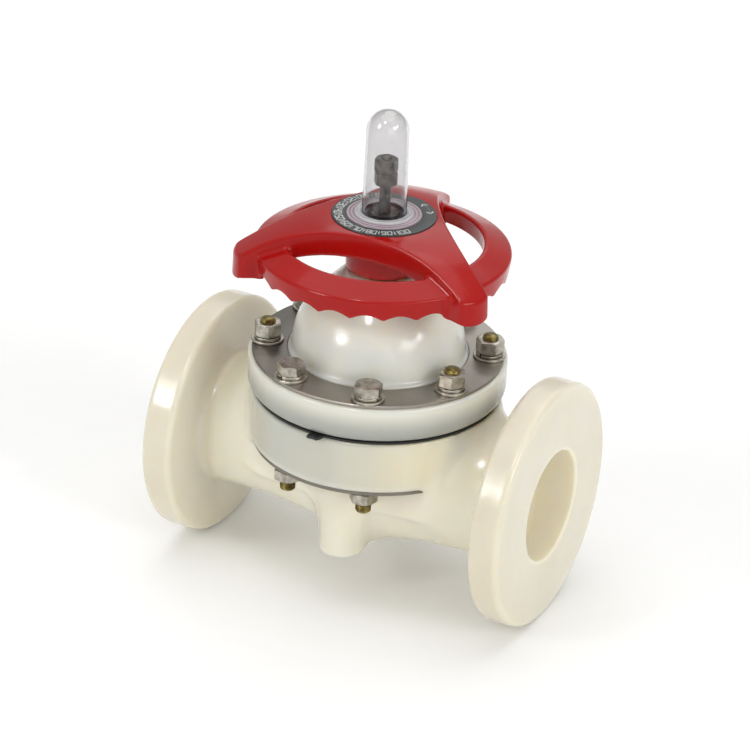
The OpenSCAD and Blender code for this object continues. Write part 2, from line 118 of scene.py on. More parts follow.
def mid_bowl_radius():
    """Radius of the sphere that hollows the drum down to the weir."""
    land_r, depth = 69.6, DRUM_TOP - 18.0
    return (land_r ** 2 + depth ** 2) / (2 * depth)


# ---------------------------------------------------------------- camera and light
CAMERA_AZIMUTH = math.radians(26.635)
CAMERA_ELEVATION = math.radians(27.367)
CAMERA_ROLL = math.radians(2.531)
CAMERA_DISTANCE = 2.9145
CAMERA_LENS = 157.3
AIM_RIGHT = 0.0013
AIM_UP = 0.0708


def add_camera():
    a, e = CAMERA_AZIMUTH, CAMERA_ELEVATION
    back = Vector((math.sin(a) * math.cos(e), -math.cos(a) * math.cos(e), math.sin(e)))
    right = Vector((math.cos(a), math.sin(a), 0))
    up = back.cross(right)
    roll_right = right * math.cos(CAMERA_ROLL) + up * math.sin(CAMERA_ROLL)
    roll_up = up * math.cos(CAMERA_ROLL) - right * math.sin(CAMERA_ROLL)
    data = bpy.data.cameras.new("camera")
    data.lens = CAMERA_LENS
    data.sensor_width = 36
    data.clip_start, data.clip_end = 0.05, 50
    cam = bpy.data.objects.new("camera", data)
    bpy.context.scene.collection.objects.link(cam)
    target = Vector((STEM_X * MM, 0, 0)) + roll_right * AIM_RIGHT + roll_up * AIM_UP
    turn = Matrix((roll_right, roll_up, back)).transposed().to_4x4()
    cam.matrix_world = Matrix.Translation(target + back * CAMERA_DISTANCE) @ turn
    bpy.context.scene.camera = cam


def sun_light(name, direction, strength, spread, tint=(1, 1, 1), diffuse=True):
    """A far soft source; direction points from the valve to the light. Without diffuse it is
    only seen as a reflection."""
    data = bpy.data.lights.new(name, "SUN")
    data.energy = strength
    data.angle = math.radians(spread)
    data.color = tint
    light = bpy.data.objects.new(name, data)
    bpy.context.scene.collection.objects.link(light)
    light.rotation_euler = (-Vector(direction)).to_track_quat("-Z", "Y").to_euler()
    light.visible_diffuse = diffuse


def add_studio():
    sun_light("key_left", (-0.48, -0.70, 0.53), 0.52, 18, (1, 0.99, 0.97))
    sun_light("key_right", (0.84, -0.26, 0.48), 0.72, 20, (0.99, 0.99, 1))
    sun_light("fill_right", (0.72, -0.66, 0.20), 0.45, 40, (1, 1, 0.98))
    sun_light("top_soft", (-0.10, 0.15, 1.0), 1.02, 60)
    sun_light("glint_left", (-0.45, -0.79, 0.42), 0.75, 12, diffuse=False)
    sun_light("glint_right", (0.86, 0.01, 0.52), 0.45, 9, diffuse=False)
    sun_light("glint_back", (-0.22, 0.68, 0.68), 0.40, 36, diffuse=False)
    sun_light("glint_top", (-0.02, -0.50, 0.87), 0.9, 5, diffuse=False)
    world = bpy.data.worlds.new("studio")
    world.use_nodes = True
    background = world.node_tree.nodes["Background"]
    background.inputs["Color"].default_value = (1, 1, 1, 1)
    background.inputs["Strength"].default_value = 0.55
    bpy.context.scene.world = world
    bpy.context.scene.view_settings.view_transform = "Standard"
    mesh = bpy.data.meshes.new("floor")
    reach = 14.0
    z = float(body_low[2]) * MM
    square = ((-reach, -reach), (reach, -reach), (reach, reach), (-reach, reach))
    mesh.from_pydata([(x, y, z) for x, y in square], [], [(0, 1, 2, 3)])
    floor = bpy.data.objects.new("floor", mesh)
    bpy.context.scene.collection.objects.link(floor)
    mat = new_material("floor_paper")
    grain = add_noise(mat, 30.0, 3.0)
    tone = add_ramp(mat, grain, ((0.0, (0.97, 0.97, 0.965)), (1.0, (1.0, 1.0, 0.995))))
    wire(mat, Base_Color=tone)
    set_values(mat, Roughness=0.9, Specular_IOR_Level=0.1)
    mesh.materials.append(mat)


# ---------------------------------------------------------------- material tools
def new_material(name):
    mat = bpy.data.materials.new(name)
    mat.use_nodes = True
    return mat


def add_node(mat, kind, **values):
    """A shader node with the values given; underscores in their names are spaces."""
    node = mat.node_tree.nodes.new("ShaderNode" + kind)
    for name, value in values.items():
        node.inputs[name.replace("_", " ")].default_value = value
    return node


def feed(mat, socket, value):
    """Puts a number or a colour into a socket, or links an output to it."""
    if isinstance(value, (int, float)):
        socket.default_value = value
    elif isinstance(value, tuple):
        socket.default_value = (*value, 1)
    else:
        mat.node_tree.links.new(value, socket)


def mapped(mat, **values):
    """A point on the object, in metres in the row frame, moved or scaled by the values."""
    node = add_node(mat, "Mapping", **values)
    feed(mat, node.inputs["Vector"], add_node(mat, "TexCoord").outputs["Object"])
    return node.outputs["Vector"]


def add_noise(mat, scale, detail, stretch=(1, 1, 1), rough=0.5):
    node = add_node(mat, "TexNoise", Scale=scale, Detail=detail, Roughness=rough)
    feed(mat, node.inputs["Vector"], mapped(mat, Scale=stretch))
    return node.outputs["Fac"]


def add_ramp(mat, factor, stops):
    node = add_node(mat, "ValToRGB")
    ramp = node.color_ramp
    while len(ramp.elements) < len(stops):
        ramp.elements.new(0.5)
    for element, (position, colour) in zip(ramp.elements, stops):
        element.position = position
        element.color = (*colour, 1)
    feed(mat, node.inputs["Fac"], factor)
    return node.outputs["Color"]


def add_range(mat, factor, low, high, from_low=0.3, from_high=0.7):
    node = add_node(mat, "MapRange", From_Min=from_low, From_Max=from_high,
                    To_Min=low, To_Max=high)
    feed(mat, node.inputs["Value"], factor)
    return node.outputs["Result"]


def add_math(mat, operation, *terms):
    node = add_node(mat, "Math")
    node.operation = operation
    for socket, value in zip(node.inputs, terms):
        feed(mat, socket, value)
    return node.outputs[0]


def add_bump(mat, height, strength, distance, chain=None):
    node = add_node(mat, "Bump", Strength=strength, Distance=distance)
    feed(mat, node.inputs["Height"], height)
    if chain is not None:
        feed(mat, node.inputs["Normal"], chain)
    return node.outputs["Normal"]


def mix_colours(mat, mode, factor, first, second):
    node = add_node(mat, "Mix")
    node.data_type = "RGBA"
    node.blend_type = mode
    for name, value in (("Factor", factor), ("A", first), ("B", second)):
        feed(mat, node.inputs[name], value)
    return node.outputs["Result"]


def wire(mat, **links):
    """Links outputs to the Principled shader's sockets; underscores in the names are spaces."""
    shader = mat.node_tree.nodes["Principled BSDF"]
    for name, output in links.items():
        feed(mat, shader.inputs[name.replace("_", " ")], output)


def set_values(mat, **values):
    shader = mat.node_tree.nodes["Principled BSDF"]
    for name, value in values.items():
        shader.inputs[name.replace("_", " ")].default_value = value


def axes(mat):
    """The X, Y and Z of a point, in metres in the row frame."""
    split = add_node(mat, "SeparateXYZ")
    feed(mat, split.inputs[0], add_node(mat, "TexCoord").outputs["Object"])
    return split.outputs["X"], split.outputs["Y"], split.outputs["Z"]


def length_2d(mat, a, b):
    total = add_math(mat, "ADD", add_math(mat, "MULTIPLY", a, a), add_math(mat, "MULTIPLY", b, b))
    return add_math(mat, "SQRT", total)


# ---------------------------------------------------------------- materials
def bonnet_painted_shade(mat, colour):
    """Painted shade: the bonnet's flange is painted greyer and darker towards its lower edge."""
    stops = ((71, (0.31, 0.335, 0.355)), (85, (0.52, 0.545, 0.57)), (99, (0.90, 0.91, 0.91)),
             (150, (1, 1, 1)))
    low, high = stops[0][0], stops[-1][0]
    height = add_range(mat, axes(mat)[2], 0, 1, low * MM, high * MM)
    tone = add_ramp(mat, height, [((z - low) / (high - low), shade) for z, shade in stops])
    return mix_colours(mat, "MULTIPLY", 1.0, colour, tone)


def body_painted_shade_and_glow(mat, colour):
    """Painted shade and glow: the drum is painted greyer than the necks and lighter and warmer
    towards the outlet, the flanges are painted darker, and a faint warm emission in the bore
    stands in for light through the pipe's wall."""
    x, y, z = axes(mat)
    from_stem = add_math(mat, "SUBTRACT", x, STEM_X * MM)
    radial = length_2d(mat, from_stem, y)
    inside = add_range(mat, radial, 1, 0, (DRUM_R - 1) * MM, (DRUM_R + 3) * MM)
    above = add_range(mat, z, 0, 1, (DRUM_BOTTOM - 6) * MM, (DRUM_BOTTOM + 8) * MM)
    across = add_range(mat, from_stem, 0, 1, 0.01, 0.09)
    # painted shade: the drum is grey, lighter and warmer towards the outlet side
    tone = add_ramp(mat, across, ((0, (0.58, 0.61, 0.63)), (1, (0.93, 0.88, 0.74))))
    drum = add_math(mat, "MULTIPLY", inside, above)
    colour = mix_colours(mat, "MULTIPLY", drum, colour, tone)
    neck_end = STEM_X - FLANGE_T
    # painted shade: the flanges are darkened
    end = add_range(mat, radial, 0, 1, (neck_end - 5) * MM, (neck_end + 2) * MM)
    painted_dimming = add_ramp(mat, end, ((0, (1, 1, 1)), (1, (0.86, 0.85, 0.83))))
    # painted glow: a warm emission on the bore's wall, which is no lamp
    painted_glow = add_range(mat, length_2d(mat, y, z), 0.09, 0, (BORE_R + 0.5) * MM, (BORE_R + 4) * MM)
    wire(mat, Emission_Strength=painted_glow)
    set_values(mat, Emission_Color=(1, 0.92, 0.66, 1))
    return mix_colours(mat, "MULTIPLY", 1.0, colour, painted_dimming)


def ivory_plastic(name, light, warm, add_painted_shade):
    """Moulded polypropylene: slightly translucent, with soft flow marks and a fine skin."""
    mat = new_material(name)
    tone = add_ramp(mat, add_noise(mat, 9.0, 3.0), ((0.3, warm), (0.7, light)))
    flow = add_noise(mat, 26.0, 4.0, (1, 1, 0.25), 0.6)
    streak = add_ramp(mat, flow, ((0.35, (0.96, 0.95, 0.92)), (0.65, (1, 1, 1))))
    # painted shade (on the body also a painted glow) is multiplied into the colour here
    colour = add_painted_shade(mat, mix_colours(mat, "MULTIPLY", 0.6, tone, streak))
    bump = add_bump(mat, add_noise(mat, 60.0, 2.0), 0.10, 0.002)
    bump = add_bump(mat, add_noise(mat, 900.0, 2.0), 0.10, 0.0002, bump)
    gloss = add_range(mat, add_noise(mat, 45.0, 3.0), 0.15, 0.24)
    wire(mat, Base_Color=colour, Roughness=gloss, Normal=bump)
    set_values(mat, Subsurface_Weight=0.6, Subsurface_Radius=(1.0, 0.8, 0.45),
               Subsurface_Scale=0.025, IOR=1.49, Specular_IOR_Level=0.5)
    return mat


def red_plastic():
    mat = new_material("red_plastic")
    cloud = add_noise(mat, 14.0, 3.0)
    tone = add_ramp(mat, cloud, ((0.3, (0.33, 0.004, 0.003)), (0.7, (0.385, 0.006, 0.004))))
    peel = add_bump(mat, add_noise(mat, 130.0, 2.0), 0.12, 0.0008)
    skin = add_bump(mat, add_noise(mat, 1200.0, 2.0), 0.08, 0.0001, peel)
    gloss = add_range(mat, add_noise(mat, 70.0, 4.0), 0.17, 0.25)
    wire(mat, Base_Color=tone, Roughness=gloss, Normal=skin)
    set_values(mat, IOR=1.5, Specular_IOR_Level=0.16, Coat_Weight=0.16, Coat_Roughness=0.05)
    return mat


def brushed_steel(name, tone, stretch, rough=(0.30, 0.46), tint_depth=0.75, left_painted_shade=1.0):
    """Stainless steel with fine brush marks along the axis whose stretch is smallest; its
    inlet side gets painted shade, darker by the factor given for that side when it is below one."""
    mat = new_material(name)
    lines = add_noise(mat, 60.0, 6.0, stretch, 0.65)
    cloud = add_noise(mat, 22.0, 3.0)
    dark = tuple(c * tint_depth for c in tone)
    base = add_ramp(mat, lines, ((0.3, dark), (0.7, tone)))
    patch = add_ramp(mat, cloud, ((0.35, tuple(c * 0.82 for c in tone)), (0.65, tone)))
    mixed = mix_colours(mat, "MIX", 0.45, base, patch)
    bump = add_bump(mat, lines, 0.22, 0.0002)
    # painted shade: the inlet side is darkened
    side = add_range(mat, axes(mat)[0], 0, 1, (STEM_X - 95) * MM, (STEM_X - 20) * MM)
    painted_dimming = add_ramp(mat, side, ((0, (left_painted_shade,) * 3), (1, (1, 1, 1))))
    colour = mix_colours(mat, "MULTIPLY", 1.0, mixed, painted_dimming)
    wire(mat, Base_Color=colour, Roughness=add_range(mat, lines, *rough),
         Normal=bump)
    set_values(mat, Metallic=1.0)
    return mat


def mottled(name, tone_noise, stops, rough_noise, rough, bumps, **values):
    """A material whose tone and roughness follow noise. A noise is (scale, detail, roughness)
    and a bump is (noise, strength, distance)."""
    mat = new_material(name)

    def noise(scale, detail, rough_part=0.5):
        return add_noise(mat, scale, detail, rough=rough_part)

    wire(mat, Base_Color=add_ramp(mat, noise(*tone_noise), stops),
         Roughness=add_range(mat, noise(*rough_noise), *rough))
    bump = None
    for grain, strength, distance in bumps:
        bump = add_bump(mat, noise(*grain), strength, distance, bump)
    if bump is not None:
        wire(mat, Normal=bump)
    set_values(mat, **values)
    return mat


def worn_metal(name, tone, deep):
    """Turned or tumbled metal with small stains and dents."""
    stain, fine = (160.0, 5.0, 0.6), (960.0, 3.0)
    return mottled(name, stain, ((0.32, deep), (0.62, tone)), fine, (0.26, 0.44),
                   ((stain, 0.15, 0.0004), (fine, 0.12, 0.0001)), Metallic=1.0)


def matt_black(name, tone, rough, grain=700.0):
    cloud = (40.0, 4.0)
    dark = tuple(c * 0.7 for c in tone)
    return mottled(name, cloud, ((0.3, dark), (0.7, tone)), cloud, (rough - 0.06, rough + 0.06),
                   (((grain, 3.0), 0.25, 0.0002),))


def cast_metal():
    grit = (500.0, 4.0)
    return mottled("cast_iron", (30.0, 3.0),
                   ((0.3, (0.035, 0.037, 0.042)), (0.7, (0.07, 0.072, 0.078))), grit, (0.45, 0.7),
                   ((grit, 0.5, 0.0006),), Metallic=0.6)


def slide_plastic():
    cloud = (60.0, 3.0)
    return mottled("slide_plastic", cloud, ((0.3, (0.72, 0.71, 0.66)), (0.7, (0.82, 0.81, 0.77))),
                   cloud, (0.35, 0.5), (((800.0, 2.0), 0.1, 0.0002),))


def white_print():
    speck = (500.0, 3.0)
    return mottled("white_print", speck, ((0.35, (0.55, 0.57, 0.55)), (0.6, (0.78, 0.80, 0.78))),
                   speck, (0.4, 0.6), ())


def clear_plastic():
    """Clear moulded cover with a faint violet cast; it is painted greyer where it is seen edge on,
    a painted shade for the grey bands at its walls.
    """
    mat = new_material("clear_plastic")
    facing = add_node(mat, "LayerWeight", Blend=0.35).outputs["Facing"]
    # painted shade: greyer towards the parts seen edge on
    tone = add_ramp(mat, facing,
                    ((0.0, (0.82, 0.81, 0.815)), (0.45, (0.71, 0.70, 0.705)),
                     (1.0, (0.42, 0.42, 0.42))))
    flow = add_noise(mat, 35.0, 2.0, (1, 1, 0.4))
    wire(mat, Base_Color=tone, Roughness=add_range(mat, add_noise(mat, 90.0, 3.0), 0.02, 0.07),
         Normal=add_bump(mat, flow, 0.10, 0.001))
    set_values(mat, Transmission_Weight=1.0, IOR=1.46)
    return mat


def frosted_plastic(name, low_tone, high_tone, clarity):
    """The cover's thick flange: milky, with the fine rings that turning leaves."""
    mat = new_material(name)
    rings = add_node(mat, "TexWave", Scale=95.0, Distortion=1.5, Detail=2.0)
    rings.wave_type, rings.rings_direction = "RINGS", "Z"
    feed(mat, rings.inputs["Vector"], mapped(mat, Location=(-STEM_X * MM, 0, 0)))
    tone = add_ramp(mat, rings.outputs["Fac"], ((0.15, low_tone), (0.85, high_tone)))
    wire(mat, Base_Color=tone, Roughness=add_range(mat, rings.outputs["Fac"], 0.16, 0.34, 0, 1),
         Normal=add_bump(mat, rings.outputs["Fac"], 0.35, 0.0004))
    set_values(mat, Transmission_Weight=clarity, IOR=1.46)
    return mat


# ---------------------------------------------------------------- mesh tools
def link_mesh(name, points, faces, mat, normals=None):
    """Makes an object from points in millimetres and a list or array of faces."""
    mesh = bpy.data.meshes.new(name)
    mesh.from_pydata((np.asarray(points, float) * MM).tolist(), [],
                     faces.tolist() if isinstance(faces, np.ndarray) else faces)
    mesh.validate()
    mesh.shade_smooth()
    if normals is not None:
        mesh.normals_split_custom_set_from_vertices(normals.tolist())
    obj = bpy.data.objects.new(name, mesh)
    bpy.context.scene.collection.objects.link(obj)
    for m in mat if isinstance(mat, (list, tuple)) else (mat,):
        mesh.materials.append(m)
    return obj


def settle(obj, body, slot, *nodes):
    """Lets a finished piece ride on a body and stand for CAD nodes."""
    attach(obj, body)
    if nodes:
        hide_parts(*nodes)
    return obj


def arc(centre, radius, start, end, steps=6):
    out = []
    for i in range(steps + 1):
        a = math.radians(start + (end - start) * i / steps)
        out.append((centre[0] + radius * math.cos(a), centre[1] + radius * math.sin(a)))
    return out


def rounded(points, radii, steps=4):
    """The closed outline with its corners rounded, each by its own radius."""
    out = []
    n = len(points)
    for i in range(n):
        r = radii[i] if isinstance(radii, (list, tuple)) else radii
        a, b, c = (np.array(points[j % n], float) for j in (i - 1, i, i + 1))
        if r <= 0:
            out.append(tuple(b))
            continue
        u, v = (a - b) / np.linalg.norm(a - b), (c - b) / np.linalg.norm(c - b)
        half = math.acos(max(-1, min(1, float(u @ v)))) / 2
        cut = min(r / math.tan(half), 0.49 * np.linalg.norm(a - b), 0.49 * np.linalg.norm(c - b))
        r = cut * math.tan(half)
        hub = b + (u + v) / np.linalg.norm(u + v) * r / math.sin(half)
        first, last = b + u * cut - hub, b + v * cut - hub
        for k in range(steps + 1):
            mix = first * (1 - k / steps) + last * (k / steps)
            out.append(tuple(hub + mix / np.linalg.norm(mix) * r))
    return out


def lathe_data(profile, segments, sweep=360.0, rise=0.0):
    """Points and faces of a closed outline of (radius, z) turned round a vertical axis."""
    profile = list(profile)
    n = len(profile)
    closed = sweep >= 360.0
    rings = segments if closed else segments + 1
    points, faces = [], []
    for s in range(rings):
        a = math.radians(sweep) * s / segments
        for r, z in profile:
            points.append((r * math.cos(a), r * math.sin(a), z + rise * s / segments))
    for s in range(segments):
        t = (s + 1) % rings
        for i in range(n):
            j = (i + 1) % n
            if profile[i][0] < 1e-6 and profile[j][0] < 1e-6:
                continue
            quad = [s * n + i, t * n + i, t * n + j, s * n + j]
            if profile[i][0] < 1e-6:
                quad = [quad[0], quad[2], quad[3]]
            elif profile[j][0] < 1e-6:
                quad = [quad[0], quad[1], quad[2]]
            faces.append(quad)
    if not closed:
        faces.append(list(range(n - 1, -1, -1)))
        faces.append(list(range((rings - 1) * n, rings * n)))
    return points, faces


def closed_mesh(name, points, faces, mat, sharp):
    """An object with its doubled points joined and the edges over an angle kept sharp."""
    obj = link_mesh(name, points, faces, mat)
    bm = bmesh.new()
    bm.from_mesh(obj.data)
    bmesh.ops.remove_doubles(bm, verts=bm.verts, dist=1e-7)
    bmesh.ops.recalc_face_normals(bm, faces=bm.faces)
    bm.to_mesh(obj.data)
    bm.free()
    obj.data.shade_smooth()
    obj.data.set_sharp_from_angle(angle=math.radians(sharp))
    return obj


def lathe(name, profile, mat, segments=96, sharp=35.0):
    """A closed outline turned round the stem's axis."""
    points, faces = shifted(lathe_data(profile, segments), STEM_X, 0)
    return closed_mesh(name, points, faces, mat, sharp)


def merged(name, parts, mat, sharp=35.0):
    """One object from many (points, faces) lists."""
    points, faces = [], []
    for p, f in parts:
        base = len(points)
        points.extend(p)
        faces.extend([i + base for i in face] for face in f)
    return closed_mesh(name, points, faces, mat, sharp)


def shifted(data, dx, dy, turn=0.0):
    points, faces = data
    c, s = math.cos(turn), math.sin(turn)
    return [(x * c - y * s + dx, x * s + y * c + dy, z) for x, y, z in points], faces


def bolt_spot(angle):
    a = math.radians(angle)
    return STEM_X + BOLT_CIRCLE_R * math.cos(a), BOLT_CIRCLE_R * math.sin(a)


# ---------------------------------------------------------------- threads and hexagons
def thread_rod(radius, pitch, z0, z1, depth, hand=1, per_turn=32, per_pitch=10, flat=0.0,
               chamfer=1.2):
    """A threaded rod as a wrapped grid whose radius follows the helix; flat ends, chamfered."""
    levels = max(4, int(round((z1 - z0) / pitch * per_pitch)))
    points, faces = [], []
    for k in range(levels + 1):
        z = z0 + (z1 - z0) * k / levels
        end = min(z - z0, z1 - z)
        limit = radius - max(0.0, chamfer - end)
        for s in range(per_turn):
            turn = s / per_turn
            phase = (z / pitch - hand * turn) % 1.0
            tooth = abs(2 * phase - 1)
            tooth = min(1.0, max(0.0, (tooth - flat) / (1 - 2 * flat)))
            r = min(limit, radius - depth * tooth)
            points.append((r * math.cos(TAU * turn), r * math.sin(TAU * turn), z))
    for k in range(levels):
        for s in range(per_turn):
            t = (s + 1) % per_turn
            a, b = k * per_turn, (k + 1) * per_turn
            faces.append([a + s, a + t, b + t, b + s])
    faces.append(list(range(per_turn - 1, -1, -1)))
    faces.append(list(range(levels * per_turn, (levels + 1) * per_turn)))
    return points, faces


def rounded_hexagon(af, corner_r=0.9, flat_steps=3, corner_steps=4):
    """Points round a hexagon of width af across flats, with small round corners."""
    inner = af / 2 - corner_r
    corner = inner / math.cos(math.radians(30))
    out = []
    for k in range(6):
        mid = 60.0 * k
        hub = (corner * math.cos(math.radians(mid)), corner * math.sin(math.radians(mid)))
        out.extend(arc(hub, corner_r, mid - 30, mid + 30, corner_steps))
        nxt = mid + 60
        hub2 = (corner * math.cos(math.radians(nxt)), corner * math.sin(math.radians(nxt)))
        start = np.array(out[-1])
        stop = np.array((hub2[0] + corner_r * math.cos(math.radians(mid + 30)),
                         hub2[1] + corner_r * math.sin(math.radians(mid + 30))))
        for i in range(1, flat_steps + 1):
            out.append(tuple(start + (stop - start) * i / (flat_steps + 1)))
    return out


def hex_piece(af, z0, z1, bore=0.0, chamfer_low=True, countersink=0.8):
    """A nut (bore > 0) or a bolt head (bore = 0), chamfered as a turned hexagon is."""
    outline = rounded_hexagon(af)
    n = len(outline)
    rim = af / 2 * 0.955
    slope = math.tan(math.radians(28))
    rows = []

    def edge_drop(p):
        return max(0.0, math.hypot(*p) - rim) * slope

    def scaled(p, r):
        length = math.hypot(*p)
        return p[0] / length * r, p[1] / length * r

    low_row = [(x, y, z0 + (edge_drop((x, y)) if chamfer_low else 0)) for x, y in outline]
    high_row = [(x, y, z1 - edge_drop((x, y))) for x, y in outline]
    if bore > 0:
        rows.append([(*scaled(p, bore), z0 + countersink) for p in outline])
        rows.append([(*scaled(p, bore + countersink), z0) for p in outline])
    rows.append([(*scaled(p, rim * 0.97), z0) for p in outline])
    rows.append(low_row)
    rows.append([(x, y, (a[2] + b[2]) / 2) for (x, y), a, b in zip(outline, low_row, high_row)])
    rows.append(high_row)
    rows.append([(*scaled(p, rim), z1) for p in outline])
    rows.append([(*scaled(p, rim * 0.93), z1) for p in outline])
    if bore > 0:
        rows.append([(*scaled(p, bore + countersink), z1) for p in outline])
        rows.append([(*scaled(p, bore), z1 - countersink) for p in outline])
    points = [p for row in rows for p in row]
    faces = []
    count = len(rows)
    for k in range(count if bore > 0 else count - 1):
        a, b = k * n, ((k + 1) % count) * n
        for i in range(n):
            j = (i + 1) % n
            faces.append([a + i, a + j, b + j, b + i])
    if bore <= 0:
        faces.append(list(range(n - 1, -1, -1)))
        faces.append([(count - 1) * n + i for i in range(n)])
    return points, faces


# ---------------------------------------------------------------- distance fields
def smooth_min(a, b, k):
    h = np.maximum(k - np.abs(a - b), 0.0) / k
    return np.minimum(a, b) - h * h * k * 0.25


def smooth_max(a, b, k):
    return -smooth_min(-a, -b, k)


def box2(u, v, half_u, half_v, r=0.0):
    """Distance to a rectangle centred on the origin of (u, v), corners rounded by r."""
    du, dv = np.abs(u) - half_u + r, np.abs(v) - half_v + r
    outside = np.hypot(np.maximum(du, 0), np.maximum(dv, 0))
    return outside + np.minimum(np.maximum(du, dv), 0) - r


def disc(radial, z, radius, z0, z1, r=0.0):
    """Distance to a solid cylinder given the radial and the axial coordinate."""
    return box2(radial, z - (z0 + z1) / 2, radius, (z1 - z0) / 2, r)


def polygon2(u, v, outline):
    """Signed distance to a closed outline in the (u, v) plane."""
    best = np.full(u.shape, 1e9)
    inside = np.zeros(u.shape, bool)
    n = len(outline)
    for i in range(n):
        (x0, y0), (x1, y1) = outline[i], outline[(i + 1) % n]
        ex, ey = x1 - x0, y1 - y0
        wx, wy = u - x0, v - y0
        t = np.clip((wx * ex + wy * ey) / (ex * ex + ey * ey), 0, 1)
        best = np.minimum(best, (wx - ex * t) ** 2 + (wy - ey * t) ** 2)
        crosses = (y0 > v) != (y1 > v)
        if ey != 0:
            inside ^= crosses & (u < ex * (v - y0) / ey + x0)
    return np.where(inside, -1, 1) * np.sqrt(best)


def field_mesh(name, field, low, high, step, mat):
    """A mesh of the field's zero surface: one vertex a cell, then moved onto the surface."""
    low = np.array(low, float) - step * 1.5
    counts = np.ceil((np.array(high, float) + step * 1.5 - low) / step).astype(int) + 1
    grid = [low[i] + step * np.arange(counts[i]) for i in range(3)]
    values = np.empty(counts, np.float32)
    plane_x, plane_y = np.meshgrid(grid[0], grid[1], indexing="ij")
    slab = 8
    for k in range(0, counts[2], slab):
        zs = grid[2][k:k + slab]
        x = np.repeat(plane_x[:, :, None], len(zs), 2)
        y = np.repeat(plane_y[:, :, None], len(zs), 2)
        z = np.broadcast_to(zs, x.shape)
        flat = field(x.ravel(), y.ravel(), z.ravel().copy())
        values[:, :, k:k + slab] = flat.reshape(x.shape)
    inside = values < 0
    cells = tuple(c - 1 for c in counts)
    total = np.zeros(cells, np.int8)
    corners = [(i, j, k) for i in (0, 1) for j in (0, 1) for k in (0, 1)]

    def corner(array, c):
        return array[tuple(slice(c[i], c[i] + cells[i]) for i in range(3))]

    for c in corners:
        total += corner(inside, c)
    active = (total > 0) & (total < 8)
    where = np.argwhere(active)
    index = np.full(cells, -1, np.int64)
    index[active] = np.arange(len(where))
    sums, hits = np.zeros((len(where), 3)), np.zeros(len(where))
    for c in corners:
        for axis in range(3):
            if c[axis]:
                continue
            d = list(c)
            d[axis] = 1
            va = values[tuple((where + c).T)].astype(float)
            vb = values[tuple((where + d).T)].astype(float)
            cross = (va < 0) != (vb < 0)
            t = np.where(cross, va / np.where(cross, va - vb, 1), 0)
            spot = np.array(c, float)[None, :].repeat(len(where), 0)
            spot[:, axis] += t
            sums += spot * cross[:, None]
            hits += cross
    points = low + (where + sums / hits[:, None]) * step
    for _ in range(4):
        value, slope = gradient(field, points, step * 0.05)
        length2 = np.maximum((slope ** 2).sum(1), 0.05)
        move = slope * (value / length2)[:, None]
        size = np.linalg.norm(move, axis=1)
        move *= np.minimum(1, 0.5 * step / np.maximum(size, 1e-9))[:, None]
        points -= move
    quads = []
    for axis in range(3):
        a, b = (axis + 1) % 3, (axis + 2) % 3
        first = [slice(None)] * 3
        first[axis] = slice(0, counts[axis] - 1)
        second = [slice(None)] * 3
        second[axis] = slice(1, counts[axis])
        change = inside[tuple(first)] != inside[tuple(second)]
        spots = np.argwhere(change)
        keep = (spots[:, a] > 0) & (spots[:, b] > 0)
        keep &= (spots[:, a] < counts[a] - 1) & (spots[:, b] < counts[b] - 1)
        spots = spots[keep]
        ring = []
        for da, db in ((-1, -1), (0, -1), (0, 0), (-1, 0)):
            cell = spots.copy()
            cell[:, a] += da
            cell[:, b] += db
            ring.append(index[tuple(cell.T)])
        quad = np.stack(ring, 1)
        flip = ~inside[tuple(spots.T)]
        quad[flip] = quad[flip][:, ::-1]
        quads.append(quad)
    normals = gradient(field, points, step * 0.05)[1]
    normals /= np.maximum(np.linalg.norm(normals, axis=1), 1e-9)[:, None]
    return link_mesh(name, points, np.concatenate(quads), mat, normals=normals)


def gradient(field, points, reach):
    x, y, z = points.T
    slope = np.stack([
        field(x + reach, y, z) - field(x - reach, y, z),
        field(x, y + reach, z) - field(x, y - reach, z),
        field(x, y, z + reach) - field(x, y, z - reach)], 1) / (2 * reach)
    return field(x, y, z), slope


def round_holes(x, y, angles, radius):
    """Distance to vertical cylinders on the bolt circle; x is from the stem's axis."""
    best = np.full(x.shape, 1e9)
    for angle in angles:
        a = math.radians(angle)
        cx, cy = BOLT_CIRCLE_R * math.cos(a), BOLT_CIRCLE_R * math.sin(a)
        best = np.minimum(best, np.hypot(x - cx, y - cy) - radius)
    return best


# ---------------------------------------------------------------- body
def swell(x, half_length):
    """One at the middle of the body, falling smoothly to nothing at half_length from it."""
    return 0.5 + 0.5 * np.cos(np.clip(x / half_length, -1, 1) * math.pi)


